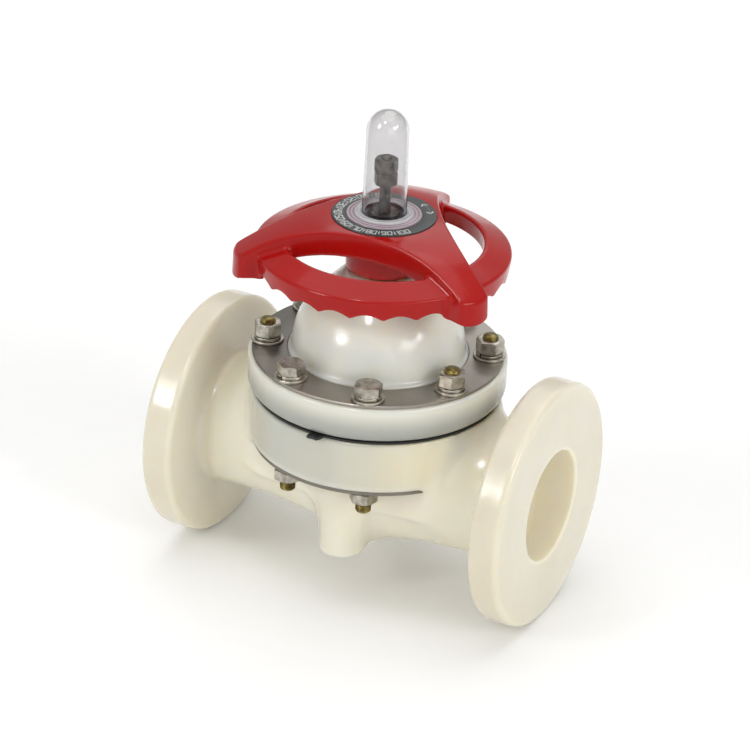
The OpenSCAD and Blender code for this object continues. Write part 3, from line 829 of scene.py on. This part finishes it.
def body_field(px, py, pz):
    x, y, z = px - STEM_X, py, pz
    ax, ay = np.abs(x), np.abs(y)
    pipe_r = np.hypot(y, z)
    stem_r = np.hypot(x, y)
    half = LENGTH / 2
    belly = 4.0 * swell(x, 84.0)
    keel = 8.0 * swell(x, 110.0) * np.clip(-z / np.maximum(pipe_r, 1.0), 0, 1) ** 2
    neck = np.maximum(pipe_r - (NECK_R + belly + keel), ax - half + 14)
    flange = disc(pipe_r, ax, FLANGE_R, half - FLANGE_T, half, 5.0)
    drum = disc(stem_r, z, DRUM_R, DRUM_BOTTOM, DRUM_TOP, 3.0)
    # the drum is carried by a wall as wide as the pipe, rounded where it meets the necks
    saddle = box2(stem_r, z - 30.0, DRUM_R - 4.0, 34.0, 8.0)
    saddle = smooth_max(saddle, ay - (NECK_R + 3.0), 10.0)
    boss = disc(np.hypot(x, ay - FOOT_PITCH / 2), z, 19.0, FOOT_BOTTOM, DRUM_BOTTOM + 6, 2.0)
    web = box2(ax, z - (FOOT_BOTTOM / 2), 15.0, -FOOT_BOTTOM / 2, 3.0)
    web = smooth_max(web, ay - FOOT_PITCH / 2, 3.0)
    core = smooth_min(smooth_min(neck, saddle, 34.0), drum, 7.0)
    core = smooth_min(core, web, 24.0)
    core = smooth_max(core, FOOT_BOTTOM - z, 3.0)
    core = smooth_min(core, boss, 9.0)
    core = np.maximum(core, np.maximum(z - DRUM_TOP, FOOT_BOTTOM - z))
    shell = smooth_min(core, flange, 9.0)
    # waterway
    end = np.hypot(np.hypot(ax - BORE_END_X, y), z) - BORE_R
    bore = np.where(ax > BORE_END_X, pipe_r - BORE_R, end)
    bowl_r = mid_bowl_radius()
    bowl = np.hypot(stem_r, z - (18.0 + bowl_r)) - bowl_r
    water = smooth_min(bore, bowl, 5.0)
    shell = smooth_max(shell, -water, 2.0)
    # holes for the bolts, the stud inserts and the foot inserts
    bolts = np.maximum(round_holes(x, y, BOLT_ANGLES, BOLT_HOLE_R), 10.0 - z)
    studs = np.maximum(round_holes(x, y, STUD_ANGLES, INSERT_R), DRUM_TOP - INSERT_DEPTH - z)
    feet = np.maximum(np.hypot(x, ay - FOOT_PITCH / 2) - 9.0, z - (FOOT_BOTTOM + 20.0))
    holes = np.minimum(np.minimum(bolts, studs), feet)
    return np.maximum(shell, -holes)


def make_body(mat):
    step = 2.35
    obj = field_mesh("body_moulding", body_field, body_low, body_high, step, mat)
    settle(obj, "housing", "ivory_plastic", "body")


# ---------------------------------------------------------------- bonnet
BELL_R, BELL_BASE_R, CONE_SUM, SHOULDER_SOFT = 76.0, 79.0, 215.0, 20.0
CAVITY_R, ROOF = 68.0, 150.0
COLLAR_LOW, COLLAR_HIGH, THRUST_T, THRUST_R = 164.0, 174.0, 2.0, 28.0
SLEEVE_R = 20.0
RUNNING_GAP = 0.06


def bonnet_field(px, py, pz):
    x, y, z = px - STEM_X, py, pz
    r = np.hypot(x, y)
    flange = disc(r, z, BONNET_R, BONNET_BOTTOM, FLANGE_TOP, 2.5)
    lower_round = box2(r, z - (BONNET_BOTTOM + 30), BONNET_R, 30.0, 10.0)
    flange = smooth_max(flange, lower_round, 1.0)
    bell = smooth_max(r - BELL_R, (r + z - CONE_SUM) * 0.7071, SHOULDER_SOFT)
    bell = np.maximum(bell, FLANGE_TOP - 8 - z)
    step = disc(r, z, BELL_BASE_R, FLANGE_TOP - 8, RING_TOP + 1.2, 0.6)
    bell = smooth_min(bell, step, 5.0)
    bell = smooth_max(bell, z - BONNET_TOP, 2.0)
    shell = smooth_min(flange, bell, 1.0)
    cavity = polygon2(r, z, [(-90, BONNET_BOTTOM - 20), (CAVITY_R, BONNET_BOTTOM - 20),
                             (CAVITY_R, 132), (46, ROOF), (-90, ROOF)])
    ribs = box2(x, np.abs(y) - 64.0, 5.0, 7.0, 0.8)
    ribs = np.maximum(ribs, np.maximum(BONNET_BOTTOM + 2 - z, z - 131.5))
    cavity = smooth_max(cavity, -ribs, 2.5)
    low_bore = disc(r, z, THRUST_R + 2, ROOF - 5, COLLAR_LOW - THRUST_T)
    mid_bore = disc(r, z, THRUST_R, ROOF - 5, COLLAR_HIGH + THRUST_T)
    top_bore = disc(r, z, SLEEVE_R + RUNNING_GAP + 0.04, ROOF - 5, BONNET_TOP + 9)
    inside = np.minimum(np.minimum(cavity, low_bore), np.minimum(mid_bore, top_bore))
    shell = np.maximum(shell, -inside)
    return np.maximum(shell, -round_holes(x, y, ALL_ANGLES, BOLT_HOLE_R))


def make_bonnet(mat):
    step = 1.7
    obj = field_mesh("bonnet_moulding", bonnet_field, bonnet_low, bonnet_high, step, mat)
    settle(obj, "housing", "ivory_plastic", "bonnet")


# ---------------------------------------------------------------- handwheel
RIM_R, RIM_IN, RIM_LOW = 111.5, 87.0, 186.0
RING_INNER_TOP, RING_OUTER_TOP, RING_INNER_LOW = 214.0, 206.0, 198.0
TIP_R, TIP_BULGE, TIP_HALF_W = 129.1, 4.0, 14.6
TIP_CORNER = TIP_R - TIP_BULGE
PLATE_R = 50.0
ARM_DROP, ARM_CROWN, ARM_DEPTH, ARM_WALL, ARM_TOP_T = 29.2, 4.5, 22.0, 4.5, 6.0
TIP_LOW, TIP_IN = 184.0, 104.0
ARM_DRAFT = 0.04
FACE_SLOPE = 0.925  # turns a height above the sloping face into a distance from it
HUB_SKIRT_R = 31.7
HEX_BOTTOM, HEX_TOP, HEX_AF = 187.0, 228.0, 38.0
LOCK_R = 26.0
COVER_R = 33.0
DIAL_OUT = (dial_high[0] - dial_low[0]) / 2
SCALLOPS = 24


def arm_curve():
    """Centre distance and radius of the circles that hollow the plate between two arms."""
    corner_r = math.hypot(TIP_CORNER, TIP_HALF_W)
    side = math.radians(60) - math.atan2(TIP_HALF_W, TIP_CORNER)
    centre = (corner_r ** 2 - PLATE_R ** 2) / (2 * (corner_r * math.cos(side) - PLATE_R))
    return centre, centre - PLATE_R


def wheel_plan(x, y, inset):
    """Distance to the hub plate and its three arms in plan, moved inwards by inset."""
    centre, radius = arm_curve()
    end_r = (TIP_HALF_W ** 2 + TIP_BULGE ** 2) / (2 * TIP_BULGE)
    gaps = np.full(x.shape, -1e9)
    ends = np.hypot(x, y) - (TIP_CORNER - TIP_BULGE - inset)
    for k in range(3):
        mid = math.radians(ARM_ANGLE + 60 + 120 * k)
        gap = radius + inset - np.hypot(x - centre * math.cos(mid), y - centre * math.sin(mid))
        gaps = smooth_max(gaps, gap, 3.0)
        a = math.radians(ARM_ANGLE + 120 * k)
        hub = TIP_R - end_r
        end = np.hypot(x - hub * math.cos(a), y - hub * math.sin(a))
        ends = np.minimum(ends, end - end_r + inset)
    return smooth_max(gaps, ends, 2.2)


def wheel_face(r):
    """Height of the upper face: level over the hub, then down along the crowned arms."""
    soft = 9.0
    over = r - PLATE_R
    ramp = 0.5 * (over + np.sqrt(over * over + soft * soft)) - 0.6
    t = np.maximum(ramp, 0) / (TIP_CORNER - PLATE_R)
    return WHEEL_TOP - ARM_DROP * t + ARM_CROWN * 4 * t * (1 - t)


def ring_fields(r, z, turn):
    """The grip ring's outer form, with its scallops, and the channel under it."""
    lip = 2.8
    section = [(RIM_IN + lip, RING_INNER_TOP - lip), (RIM_R - lip, RING_OUTER_TOP - lip),
               (RIM_R - 6.0, 180.0), (RIM_IN + 8.0, 180.0), (RIM_IN + lip, 190.0)]
    outer = polygon2(r, z, section) - lip
    underside = RING_INNER_LOW - z + np.clip(RIM_IN + 6 - r, -16, 0) * 0.9
    outer = smooth_max(outer, underside * 0.75, 2.0)
    wave = np.sqrt(np.cos(SCALLOPS / 2 * turn) ** 2 + 0.004)
    low_edge = RIM_LOW + 5.0 * (wave - 0.063)
    outer = smooth_max(outer, (low_edge - z) * 0.9, 2.2)
    channel = polygon2(r, z, [(RIM_IN + 6.0, 208.0), (RIM_R - 7.0, 200.5), (RIM_R - 9.0, 160.0),
                              (RIM_IN + 7.0, 160.0)]) - 1.5
    return outer, channel


def wheel_field(px, py, pz):
    x, y, z = px - STEM_X, py, pz
    r = np.hypot(x, y)
    turn = np.arctan2(y, x) - math.radians(ARM_ANGLE)
    top = (z - wheel_face(r)) * FACE_SLOPE
    plan = wheel_plan(x, y, 0.0) + ARM_DRAFT * np.clip(top, -ARM_DEPTH, 0)
    outer = smooth_max(plan, top, 2.6)
    under = np.minimum(-(top + ARM_DEPTH * FACE_SLOPE), np.maximum(TIP_LOW - z, TIP_IN - r))
    outer = smooth_max(outer, under, 3.0)
    inner = smooth_max(wheel_plan(x, y, ARM_WALL), top + ARM_TOP_T * FACE_SLOPE, 2.5)
    ring_outer, channel = ring_fields(r, z, turn)
    outer = smooth_min(outer, ring_outer, 5.0)
    wheel = smooth_max(outer, -np.minimum(inner, channel), 2.0)
    # stiffening web under each arm, and the hub
    rib = np.full(r.shape, 1e9)
    for k in range(3):
        a = math.radians(ARM_ANGLE + 120 * k)
        along, across = x * math.cos(a) + y * math.sin(a), -x * math.sin(a) + y * math.cos(a)
        rib = np.minimum(rib, np.maximum(np.abs(across) - 1.6, np.abs(along - 70.0) - 52.0))
    rib = np.maximum(rib, np.maximum(top + 2.0, -(top + ARM_DEPTH * FACE_SLOPE - 5.0)))
    wheel = smooth_min(wheel, rib, 2.5)
    skirt = disc(r, z, HUB_SKIRT_R, HEX_BOTTOM, WHEEL_TOP - 3, 1.5)
    boss = disc(r, z, 40.0, WHEEL_TOP - 12, WHEEL_TOP - 2, 2.0)
    wheel = smooth_min(wheel, smooth_min(skirt, boss, 3.0), 4.0)
    # hexagon for the sleeve, recesses for the lock nut, the cover and the dial
    hexagon = np.full(r.shape, -1e9)
    for k in range(3):
        a = math.radians(30 + 60 * k)
        hexagon = np.maximum(hexagon, np.abs(x * math.cos(a) + y * math.sin(a)) - HEX_AF / 2)
    cuts = np.minimum(hexagon, np.maximum(r - LOCK_R, HEX_TOP - z))
    cuts = np.minimum(cuts, np.maximum(r - COVER_R, cover_low[2] - z))
    cuts = np.minimum(cuts, np.maximum(r - DIAL_OUT - 0.1, dial_low[2] - z))
    return np.maximum(wheel, -cuts)


def make_handwheel(mat):
    step = 1.35
    obj = field_mesh("handwheel_moulding", wheel_field, wheel_low, wheel_high, step, mat)
    settle(obj, "wheel", "red_plastic", "handwheel")


# ---------------------------------------------------------------- fasteners
def make_fasteners(steel, gold):
    heads, nuts, low_nuts, bolts, studs, springs, flats = [], [], [], [], [], [], []
    pitch, depth = 2.0, 1.1
    shank_end = 16.0
    flat_r, spring_r = 14.5, 12.0
    nut_bore = BOLT_R - 0.6
    seat_low = segment_low[2]
    bolt_end = node_mm("through_bolts")[0][2]
    stud_end = node_mm("studs")[1][2]
    low, high = RING_TOP, RING_TOP + FLAT_WASHER_T
    flat_profile = rounded([(BOLT_R + 0.6, low), (flat_r, low), (flat_r, high),
                            (BOLT_R + 0.6, high)], 0.6, 3)
    low, high = high, high + SPRING_WASHER_T
    spring_profile = rounded([(BOLT_R + 0.5, low + 0.1), (spring_r, low),
                              (spring_r + 0.2, high - 0.5), (BOLT_R + 0.5, high - 0.3)], 0.5, 3)
    for i, angle in enumerate(ALL_ANGLES):
        x, y = bolt_spot(angle)
        turn = math.radians(angle + 13 + 37 * i)
        flats.append(shifted(lathe_data(flat_profile, 48), x, y))
        springs.append(shifted(lathe_data(spring_profile, 40, 352.0, rise=0.3), x, y, turn))
        if angle in BOLT_ANGLES:
            head = hex_piece(BOLT_AF, NUT_SEAT, NUT_SEAT + HEAD_H, 0.0, False)
            shank = lathe_data([(0, shank_end), (BOLT_R, shank_end), (BOLT_R, NUT_SEAT + 0.5),
                                (0, NUT_SEAT + 0.5)], 32)
            heads += [shifted(head, x, y, turn), shifted(shank, x, y)]
            thread = thread_rod(BOLT_R, pitch, bolt_end, shank_end + 0.5, depth, chamfer=2.0)
            bolts.append(shifted(thread, x, y, turn))
            nut = hex_piece(BOLT_AF, seat_low - LOWER_NUT_H, seat_low, nut_bore)
            low_nuts.append(shifted(nut, x, y, turn + 0.5))
        else:
            nut = hex_piece(BOLT_AF, NUT_SEAT, NUT_SEAT + NUT_H, nut_bore)
            nuts.append(shifted(nut, x, y, turn))
            thread = thread_rod(BOLT_R, pitch, DRUM_TOP - INSERT_DEPTH + 1, stud_end, depth)
            studs.append(shifted(thread, x, y, turn))
    for name, parts, mat, sharp, slot, nodes in (
            ("bolt_heads_and_shanks", heads, steel, 30, "stainless_fasteners", ["through_bolts"]),
            ("bolt_thread_ends", bolts, gold, 50, "stud_steel", []),
            ("bolt_nuts", low_nuts, steel, 30, "stainless_fasteners", ["through_bolt_nuts"]),
            ("threaded_studs", studs, gold, 50, "stud_steel", ["studs"]),
            ("stud_hex_nuts", nuts, steel, 30, "stainless_fasteners", ["stud_nuts"]),
            ("split_washers", springs, steel, 40, "stainless_fasteners", ["spring_washers"]),
            ("plain_washers", flats, steel, 40, "stainless_fasteners", ["flat_washers"])):
        settle(merged(name, parts, mat, sharp), "housing", slot, *nodes)


# ---------------------------------------------------------------- steel plates
def inset(outline, distance):
    """The outline moved to its left, which is inwards if it runs anticlockwise."""
    p = np.array(outline, float)
    before, after = p - np.roll(p, 1, 0), np.roll(p, -1, 0) - p
    before /= np.linalg.norm(before, axis=1)[:, None]
    after /= np.linalg.norm(after, axis=1)[:, None]
    side = np.stack([-before[:, 1] - after[:, 1], before[:, 0] + after[:, 0]], 1)
    grow = 2 / np.maximum((side ** 2).sum(1), 1.0)
    return (p + side * grow[:, None] * distance).tolist()


def flat_plate(name, outlines, z0, z1, mat, bevel=0.45):
    """A plate with bevelled edges; the first outline is the outside, the others are holes."""
    points, faces, low_caps, high_caps = [], [], [], []
    for k, outline in enumerate(outlines):
        p = np.array(outline)
        area = (p[:, 0] * np.roll(p[:, 1], -1) - np.roll(p[:, 0], -1) * p[:, 1]).sum()
        if (area > 0) != (k == 0):
            outline = outline[::-1]
        n, base = len(outline), len(points)
        small = inset(outline, bevel)
        for ring, z in ((small, z0), (outline, z0 + bevel), (outline, z1 - bevel), (small, z1)):
            points.extend((x, y, z) for x, y in ring)
        for r in range(3):
            a, b = base + r * n, base + (r + 1) * n
            faces.extend([a + i, a + (i + 1) % n, b + (i + 1) % n, b + i] for i in range(n))
        low_caps.append(list(range(base, base + n)))
        high_caps.append(list(range(base + 3 * n, base + 4 * n)))
    for caps, flip in ((low_caps, True), (high_caps, False)):
        flat = [i for cap in caps for i in cap]
        loops = [[Vector((points[i][0], points[i][1], 0)) for i in cap] for cap in caps]
        for t in tessellate_polygon(loops):
            tri = [flat[i] for i in t]
            faces.append(tri[::-1] if flip else tri)
    return closed_mesh(name, points, faces, mat, 28)


def circle_points(cx, cy, radius, count, start=0.0, sweep=360.0):
    full = sweep >= 360.0
    steps = count if full else count - 1
    return [(cx + radius * math.cos(math.radians(start + sweep * i / steps)),
             cy + radius * math.sin(math.radians(start + sweep * i / steps)))
            for i in range(count)]


def make_plates(ring_mat, segment_mat):
    outer_r = (plate_high[0] - plate_low[0]) / 2
    holes = [circle_points(*bolt_spot(a), BOLT_HOLE_R, 32) for a in ALL_ANGLES]
    ring = flat_plate("bonnet_steel_ring",
                      [circle_points(STEM_X, 0, outer_r, 160), circle_points(STEM_X, 0, 79.5, 128)]
                      + holes, plate_low[2], plate_high[2], ring_mat)
    settle(ring, "housing", "stainless_steel", "bonnet_ring_plate")
    half_span, inner_r, outer_seg = 51.75, 84.0, 108.0
    for node, name, middle in (("front_segment_plate", "front_steel_segment", -90.0),
                               ("rear_segment_plate", "rear_steel_segment", 90.0)):
        outside = circle_points(STEM_X, 0, outer_seg, 60, middle - half_span, 2 * half_span)
        inside = circle_points(STEM_X, 0, inner_r, 48, middle - half_span, 2 * half_span)
        outline = rounded(outside + inside[::-1],
                          [4.0 if i in (0, 59, 60, 107) else 0 for i in range(108)], 4)
        spots = [circle_points(*bolt_spot(middle + d), BOLT_HOLE_R, 32) for d in (-22.5, 22.5)]
        plate = flat_plate(name, [outline] + spots, segment_low[2], segment_high[2], segment_mat)
        settle(plate, "housing", "stainless_steel", node)


# ---------------------------------------------------------------- diaphragm
def dish(r):
    dish_r, depth = 66.0, 23.25
    middle = (BONNET_BOTTOM + DRUM_TOP) / 2
    return middle - (depth * (1 - (r / dish_r) ** 2) ** 1.3 if r < dish_r else 0)


def make_diaphragm(mat):
    """Clamped rim, moulded dish, and a hanging tab."""
    rim_r = (gasket_high[0] - gasket_low[0]) / 2
    half = (BONNET_BOTTOM - DRUM_TOP) / 2
    middle = (BONNET_BOTTOM + DRUM_TOP) / 2
    radii = [66.0 * i / 20 for i in range(21)]
    under = [(r, dish(r) - (half + 1.25 * min(1, (66 - r) / 14))) for r in radii]
    over = [(r, dish(r) + (half + 1.25 * min(1, (66 - r) / 14))) for r in reversed(radii)]
    edge = [(rim_r - 1.2, middle - half), (rim_r - 0.2, middle - half * 0.7), (rim_r, middle),
            (rim_r - 0.2, middle + half * 0.7), (rim_r - 1.2, middle + half)]
    obj = lathe("rubber_diaphragm", under + edge + over, mat, 160)
    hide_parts("diaphragm")
    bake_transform(obj)
    tab = rounded([(-7.0, -106.0), (7.0, -106.0), (6.0, -113.5), (3.4, -117.6), (-1.0, -116.8),
                   (-6.6, -117.8)], [0, 0, 1.5, 1.5, 1.0, 2.0], 4)
    flat = flat_plate("diaphragm_tab", [[(STEM_X + u, v) for u, v in tab]],
                      DRUM_TOP + 0.05, BONNET_BOTTOM - 0.05, mat, 0.7)
    settle(flat, "housing", "rubber")


# ---------------------------------------------------------------- stem and indicator
def make_stem(steel):
    rod_r, stem_r = 5.0, 14.0
    shoulder, top = 104.0, 205.0
    foot_r, neck_r = 11.0, stem_r - 2.6
    core = rounded([(0, stem_low[2]), (foot_r, stem_low[2]), (foot_r, shoulder),
                    (neck_r, shoulder + 2), (neck_r, shoulder + 6), (0, shoulder + 6)],
                   [0, 1.0, 0, 0, 0, 0], 3)
    lead, depth = 5.0, 2.5
    screw = thread_rod(stem_r, lead, shoulder + 4, top, depth, hand=-1, per_turn=48,
                       per_pitch=12, flat=0.28, chamfer=2.5)
    rod_top = stem_high[2]
    plain = lathe_data([(0, top - 2), (rod_r, top - 2), (rod_r, stop_low[2] - 12),
                        (0, stop_low[2] - 12)], 40)
    tip = thread_rod(rod_r, 1.5, stop_low[2] - 13, rod_top, 0.75, per_turn=32, per_pitch=8,
                     chamfer=1.0)
    parts = [lathe_data(core, 64), screw, plain, tip]
    parts = [shifted(p, STEM_X, 0) for p in parts]
    settle(merged("threaded_stem", parts, steel, 50), "stem", "stainless_steel", "stem")
    for low, high, name, node, turn in (
            (stop_low[2], stop_high[2], "lower_stop_nut", "stopper_nut_lower", 0.2),
            (stop2_low[2], stop2_high[2], "upper_stop_nut", "stopper_nut_upper", 0.62)):
        nut = hex_piece(18.0, low + 0.05, high - 0.05, rod_r - 0.5, countersink=0.6)
        obj = merged(name, [shifted(nut, STEM_X, 0, turn=turn)], steel, 30)
        settle(obj, "stem", "stainless_fasteners", node)


def make_cover(clear_mat, flange_mat, collar_mat):
    """The clear tube; its flange and the raised collar on it are milky. The collar is painted
    lighter than the flange, partly a painted highlight, and the flange's pink-violet partly stands
    in for the red wheel seen through it.
    """
    wall, collar_r = 2.0, 25.0
    base_r, top_r = 19.5, 18.3
    z0, top = cover_low[2], cover_high[2]
    dome_z = top - top_r
    flange_r = (cover_high[0] - cover_low[0]) / 2
    foot_top = z0 + 4.0
    collar_top = foot_top + 1.9
    outside = [(flange_r - 0.4, z0), (flange_r, z0 + 0.4)]
    outside += arc((flange_r - 1.2, foot_top - 1.2), 1.2, 0, 90, 4)
    outside += [(collar_r + 1.4, foot_top), (collar_r + 0.5, foot_top + 0.3)]
    outside += arc((collar_r - 0.8, collar_top - 1.1), 1.1, 0, 90, 5)
    outside += [(base_r + 2.2, collar_top), (base_r + 1.2, collar_top - 0.5),
                (base_r + 0.3, collar_top - 0.2), (base_r, foot_top + 5)]
    outside += [(base_r + (top_r - base_r) * t, foot_top + 5 + (dome_z - foot_top - 5) * t)
                for t in (0.25, 0.5, 0.75)]
    dome = arc((0, dome_z), top_r, 0, 90, 16)
    dome[-1] = (0.0, top)
    hollow = arc((0, dome_z), top_r - wall, 90, 0, 16)
    hollow[0] = (0.0, top - wall)
    inside = [(base_r - wall, foot_top), (base_r - wall, z0)]
    profile = outside + dome + hollow + inside
    cover = lathe("clear_indicator_cover", profile, [clear_mat, flange_mat, collar_mat], 96)
    for face in cover.data.polygons:
        spot = face.center / MM
        radius = math.hypot(spot.x - STEM_X, spot.y)
        if spot.z < collar_top + 0.2 and radius > base_r + 0.2:
            face.material_index = 1 if radius > collar_r + 0.9 or spot.z < z0 + 0.2 else 2
    settle(cover, "wheel", "clear_plastic", "gauge_cover")


# ---------------------------------------------------------------- dial
# seven bars of a plain figure: top, top right, low right, bottom, low left, top left, middle
STROKES = {
    "0": "abcdef", "1": "bc", "2": "abged", "3": "abgcd", "4": "fgbc",
    "5": "afgcd", "6": "afgedc", "7": "abc", "8": "abcdefg", "9": "abfgcd",
}
BARS = {"a": ((0, 1), (1, 1)), "b": ((1, 1), (1, 0.5)), "c": ((1, 0.5), (1, 0)),
        "d": ((0, 0), (1, 0)), "e": ((0, 0.5), (0, 0)), "f": ((0, 1), (0, 0.5)),
        "g": ((0, 0.5), (1, 0.5))}


def bar_data(p, q, width, z0, z1):
    p, q = np.array(p, float), np.array(q, float)
    d = (q - p) / np.linalg.norm(q - p)
    side = np.array((-d[1], d[0])) * width / 2
    p, q = p - d * width / 2, q + d * width / 2
    ring = [p - side, q - side, q + side, p + side]
    points = [(*c, z0) for c in ring] + [(*c, z1) for c in ring]
    faces = [[3, 2, 1, 0], [4, 5, 6, 7]] + [[i, (i + 1) % 4, 4 + (i + 1) % 4, 4 + i]
                                            for i in range(4)]
    return points, faces


def make_dial(plate_mat, print_mat):
    """A black ring with a plain scale: figures for the opening, and an arrow to turn by."""
    z0, z1 = dial_low[2], dial_high[2]
    inner, outer = 33.05, DIAL_OUT
    profile = rounded([(inner, z0), (outer, z0), (outer, z1), (inner, z1)], [0, 0, 0.4, 0.3], 3)
    settle(lathe("dial_plate", profile, plate_mat, 128), "wheel", "black_plastic", "nameplate")
    parts = []
    low, high = z1 - 0.05, z1 + 0.06

    def polar(radius, degrees):
        a = math.radians(degrees)
        return STEM_X + radius * math.cos(a), radius * math.sin(a)

    height, width, gap, stroke = 6.4, 3.4, 1.6, 1.0
    foot_r = 36.6
    first, last, count = -232.0, -40.0, 11
    for i in range(count):
        angle = first + (last - first) * i / (count - 1)
        text = str(i * 10)
        total = len(text) * (width + gap)
        for c, figure in enumerate(text):
            shift = (c + 0.5) * (width + gap) - total / 2
            for bar in STROKES[figure]:
                ends = []
                for u, v in BARS[bar]:
                    radius = foot_r + (1 - v) * height
                    across = shift + (u - 0.5) * width
                    ends.append(polar(radius, angle + math.degrees(across / radius)))
                parts.append(bar_data(ends[0], ends[1], stroke, low, high))
        if i < count - 1:
            tick = angle + (last - first) / (count - 1) / 2
            parts.append(bar_data(polar(foot_r + 0.5, tick), polar(foot_r + height - 0.5, tick),
                                  0.7, low, high))
    start, stop, arrow_r, line_w, steps = 34.0, 60.0, 39.8, 1.1, 12
    step = (stop - start) / steps
    for i in range(steps):
        a, b = (polar(arrow_r, start + step * k) for k in (i, i + 1))
        parts.append(bar_data(a, b, line_w, low, high))
    for tip, back in ((start - 2.0, 5.0), (stop + 2.0, -5.0)):
        for side in (-2.6, 2.6):
            parts.append(bar_data(polar(arrow_r, tip), polar(arrow_r + side, tip + back),
                                  line_w, low, high))
    settle(merged("dial_scale", parts, print_mat, 30), "wheel", "black_plastic")


# ---------------------------------------------------------------- what stays as CAD shape
def dress_cad(materials):
    for name, mat in materials.items():
        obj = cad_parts[name]
        obj.data.materials.clear()
        obj.data.materials.append(mat)


add_camera()
add_studio()
ivory = ivory_plastic("ivory_body", (0.83, 0.80, 0.69), (0.79, 0.745, 0.61), body_painted_shade_and_glow)
ivory_cool = ivory_plastic("ivory_bonnet", (0.82, 0.80, 0.71), (0.78, 0.75, 0.645), bonnet_painted_shade)
red = red_plastic()
# the ring's inlet side gets painted shade
ring_steel = brushed_steel("ring_steel", (0.37, 0.345, 0.31), (0.12, 2.4, 1.0), left_painted_shade=0.34)
segment_steel = brushed_steel("segment_steel", (0.24, 0.22, 0.185), (0.15, 2.0, 2.0))
fastener_steel = worn_metal("fastener_steel", (0.50, 0.47, 0.41), (0.23, 0.21, 0.17))
dark_steel = worn_metal("indicator_steel", (0.19, 0.165, 0.14), (0.026, 0.022, 0.018))
gold_steel = worn_metal("gold_thread", (0.30, 0.24, 0.08), (0.10, 0.08, 0.025))
brass = worn_metal("turned_brass", (0.62, 0.44, 0.17), (0.42, 0.28, 0.09))
# painted shade: the sleeve's bronze is painted nearly black, standing in for the shadow inside the
# cover's tube
shaded_sleeve_bronze = worn_metal("bronze_painted_shade", (0.085, 0.07, 0.055), (0.03, 0.026, 0.022))
rubber = matt_black("black_rubber", (0.013, 0.013, 0.012), 0.62)
dial_black = matt_black("dial_black", (0.022, 0.030, 0.028), 0.38, 1500.0)

make_body(ivory)
make_bonnet(ivory_cool)
make_handwheel(red)
make_fasteners(fastener_steel, gold_steel)
make_plates(ring_steel, segment_steel)
make_diaphragm(rubber)
make_stem(dark_steel)
# the collar's light tone is partly a painted highlight; the flange's pink partly stands in for the
# red wheel under it
make_cover(clear_plastic(),
           frosted_plastic("milky_flange", (0.36, 0.27, 0.31), (0.50, 0.40, 0.45), 0.25),
           frosted_plastic("milky_collar_painted_highlight", (0.60, 0.59, 0.61), (0.78, 0.77, 0.79), 0.35))
make_dial(dial_black, white_print())
dress_cad({
    "body_inserts": brass, "foot_inserts": brass, "sleeve_retainer": brass,
    "wheel_lock_nut": brass, "sleeve": shaded_sleeve_bronze, "compressor": cast_metal(),
    "compressor_pin": fastener_steel, "diaphragm_insert": fastener_steel,
    "thrust_ring_upper": slide_plastic(), "thrust_ring_lower": slide_plastic(),
    "sleeve_o_ring": rubber, "gauge_o_ring": rubber,
})
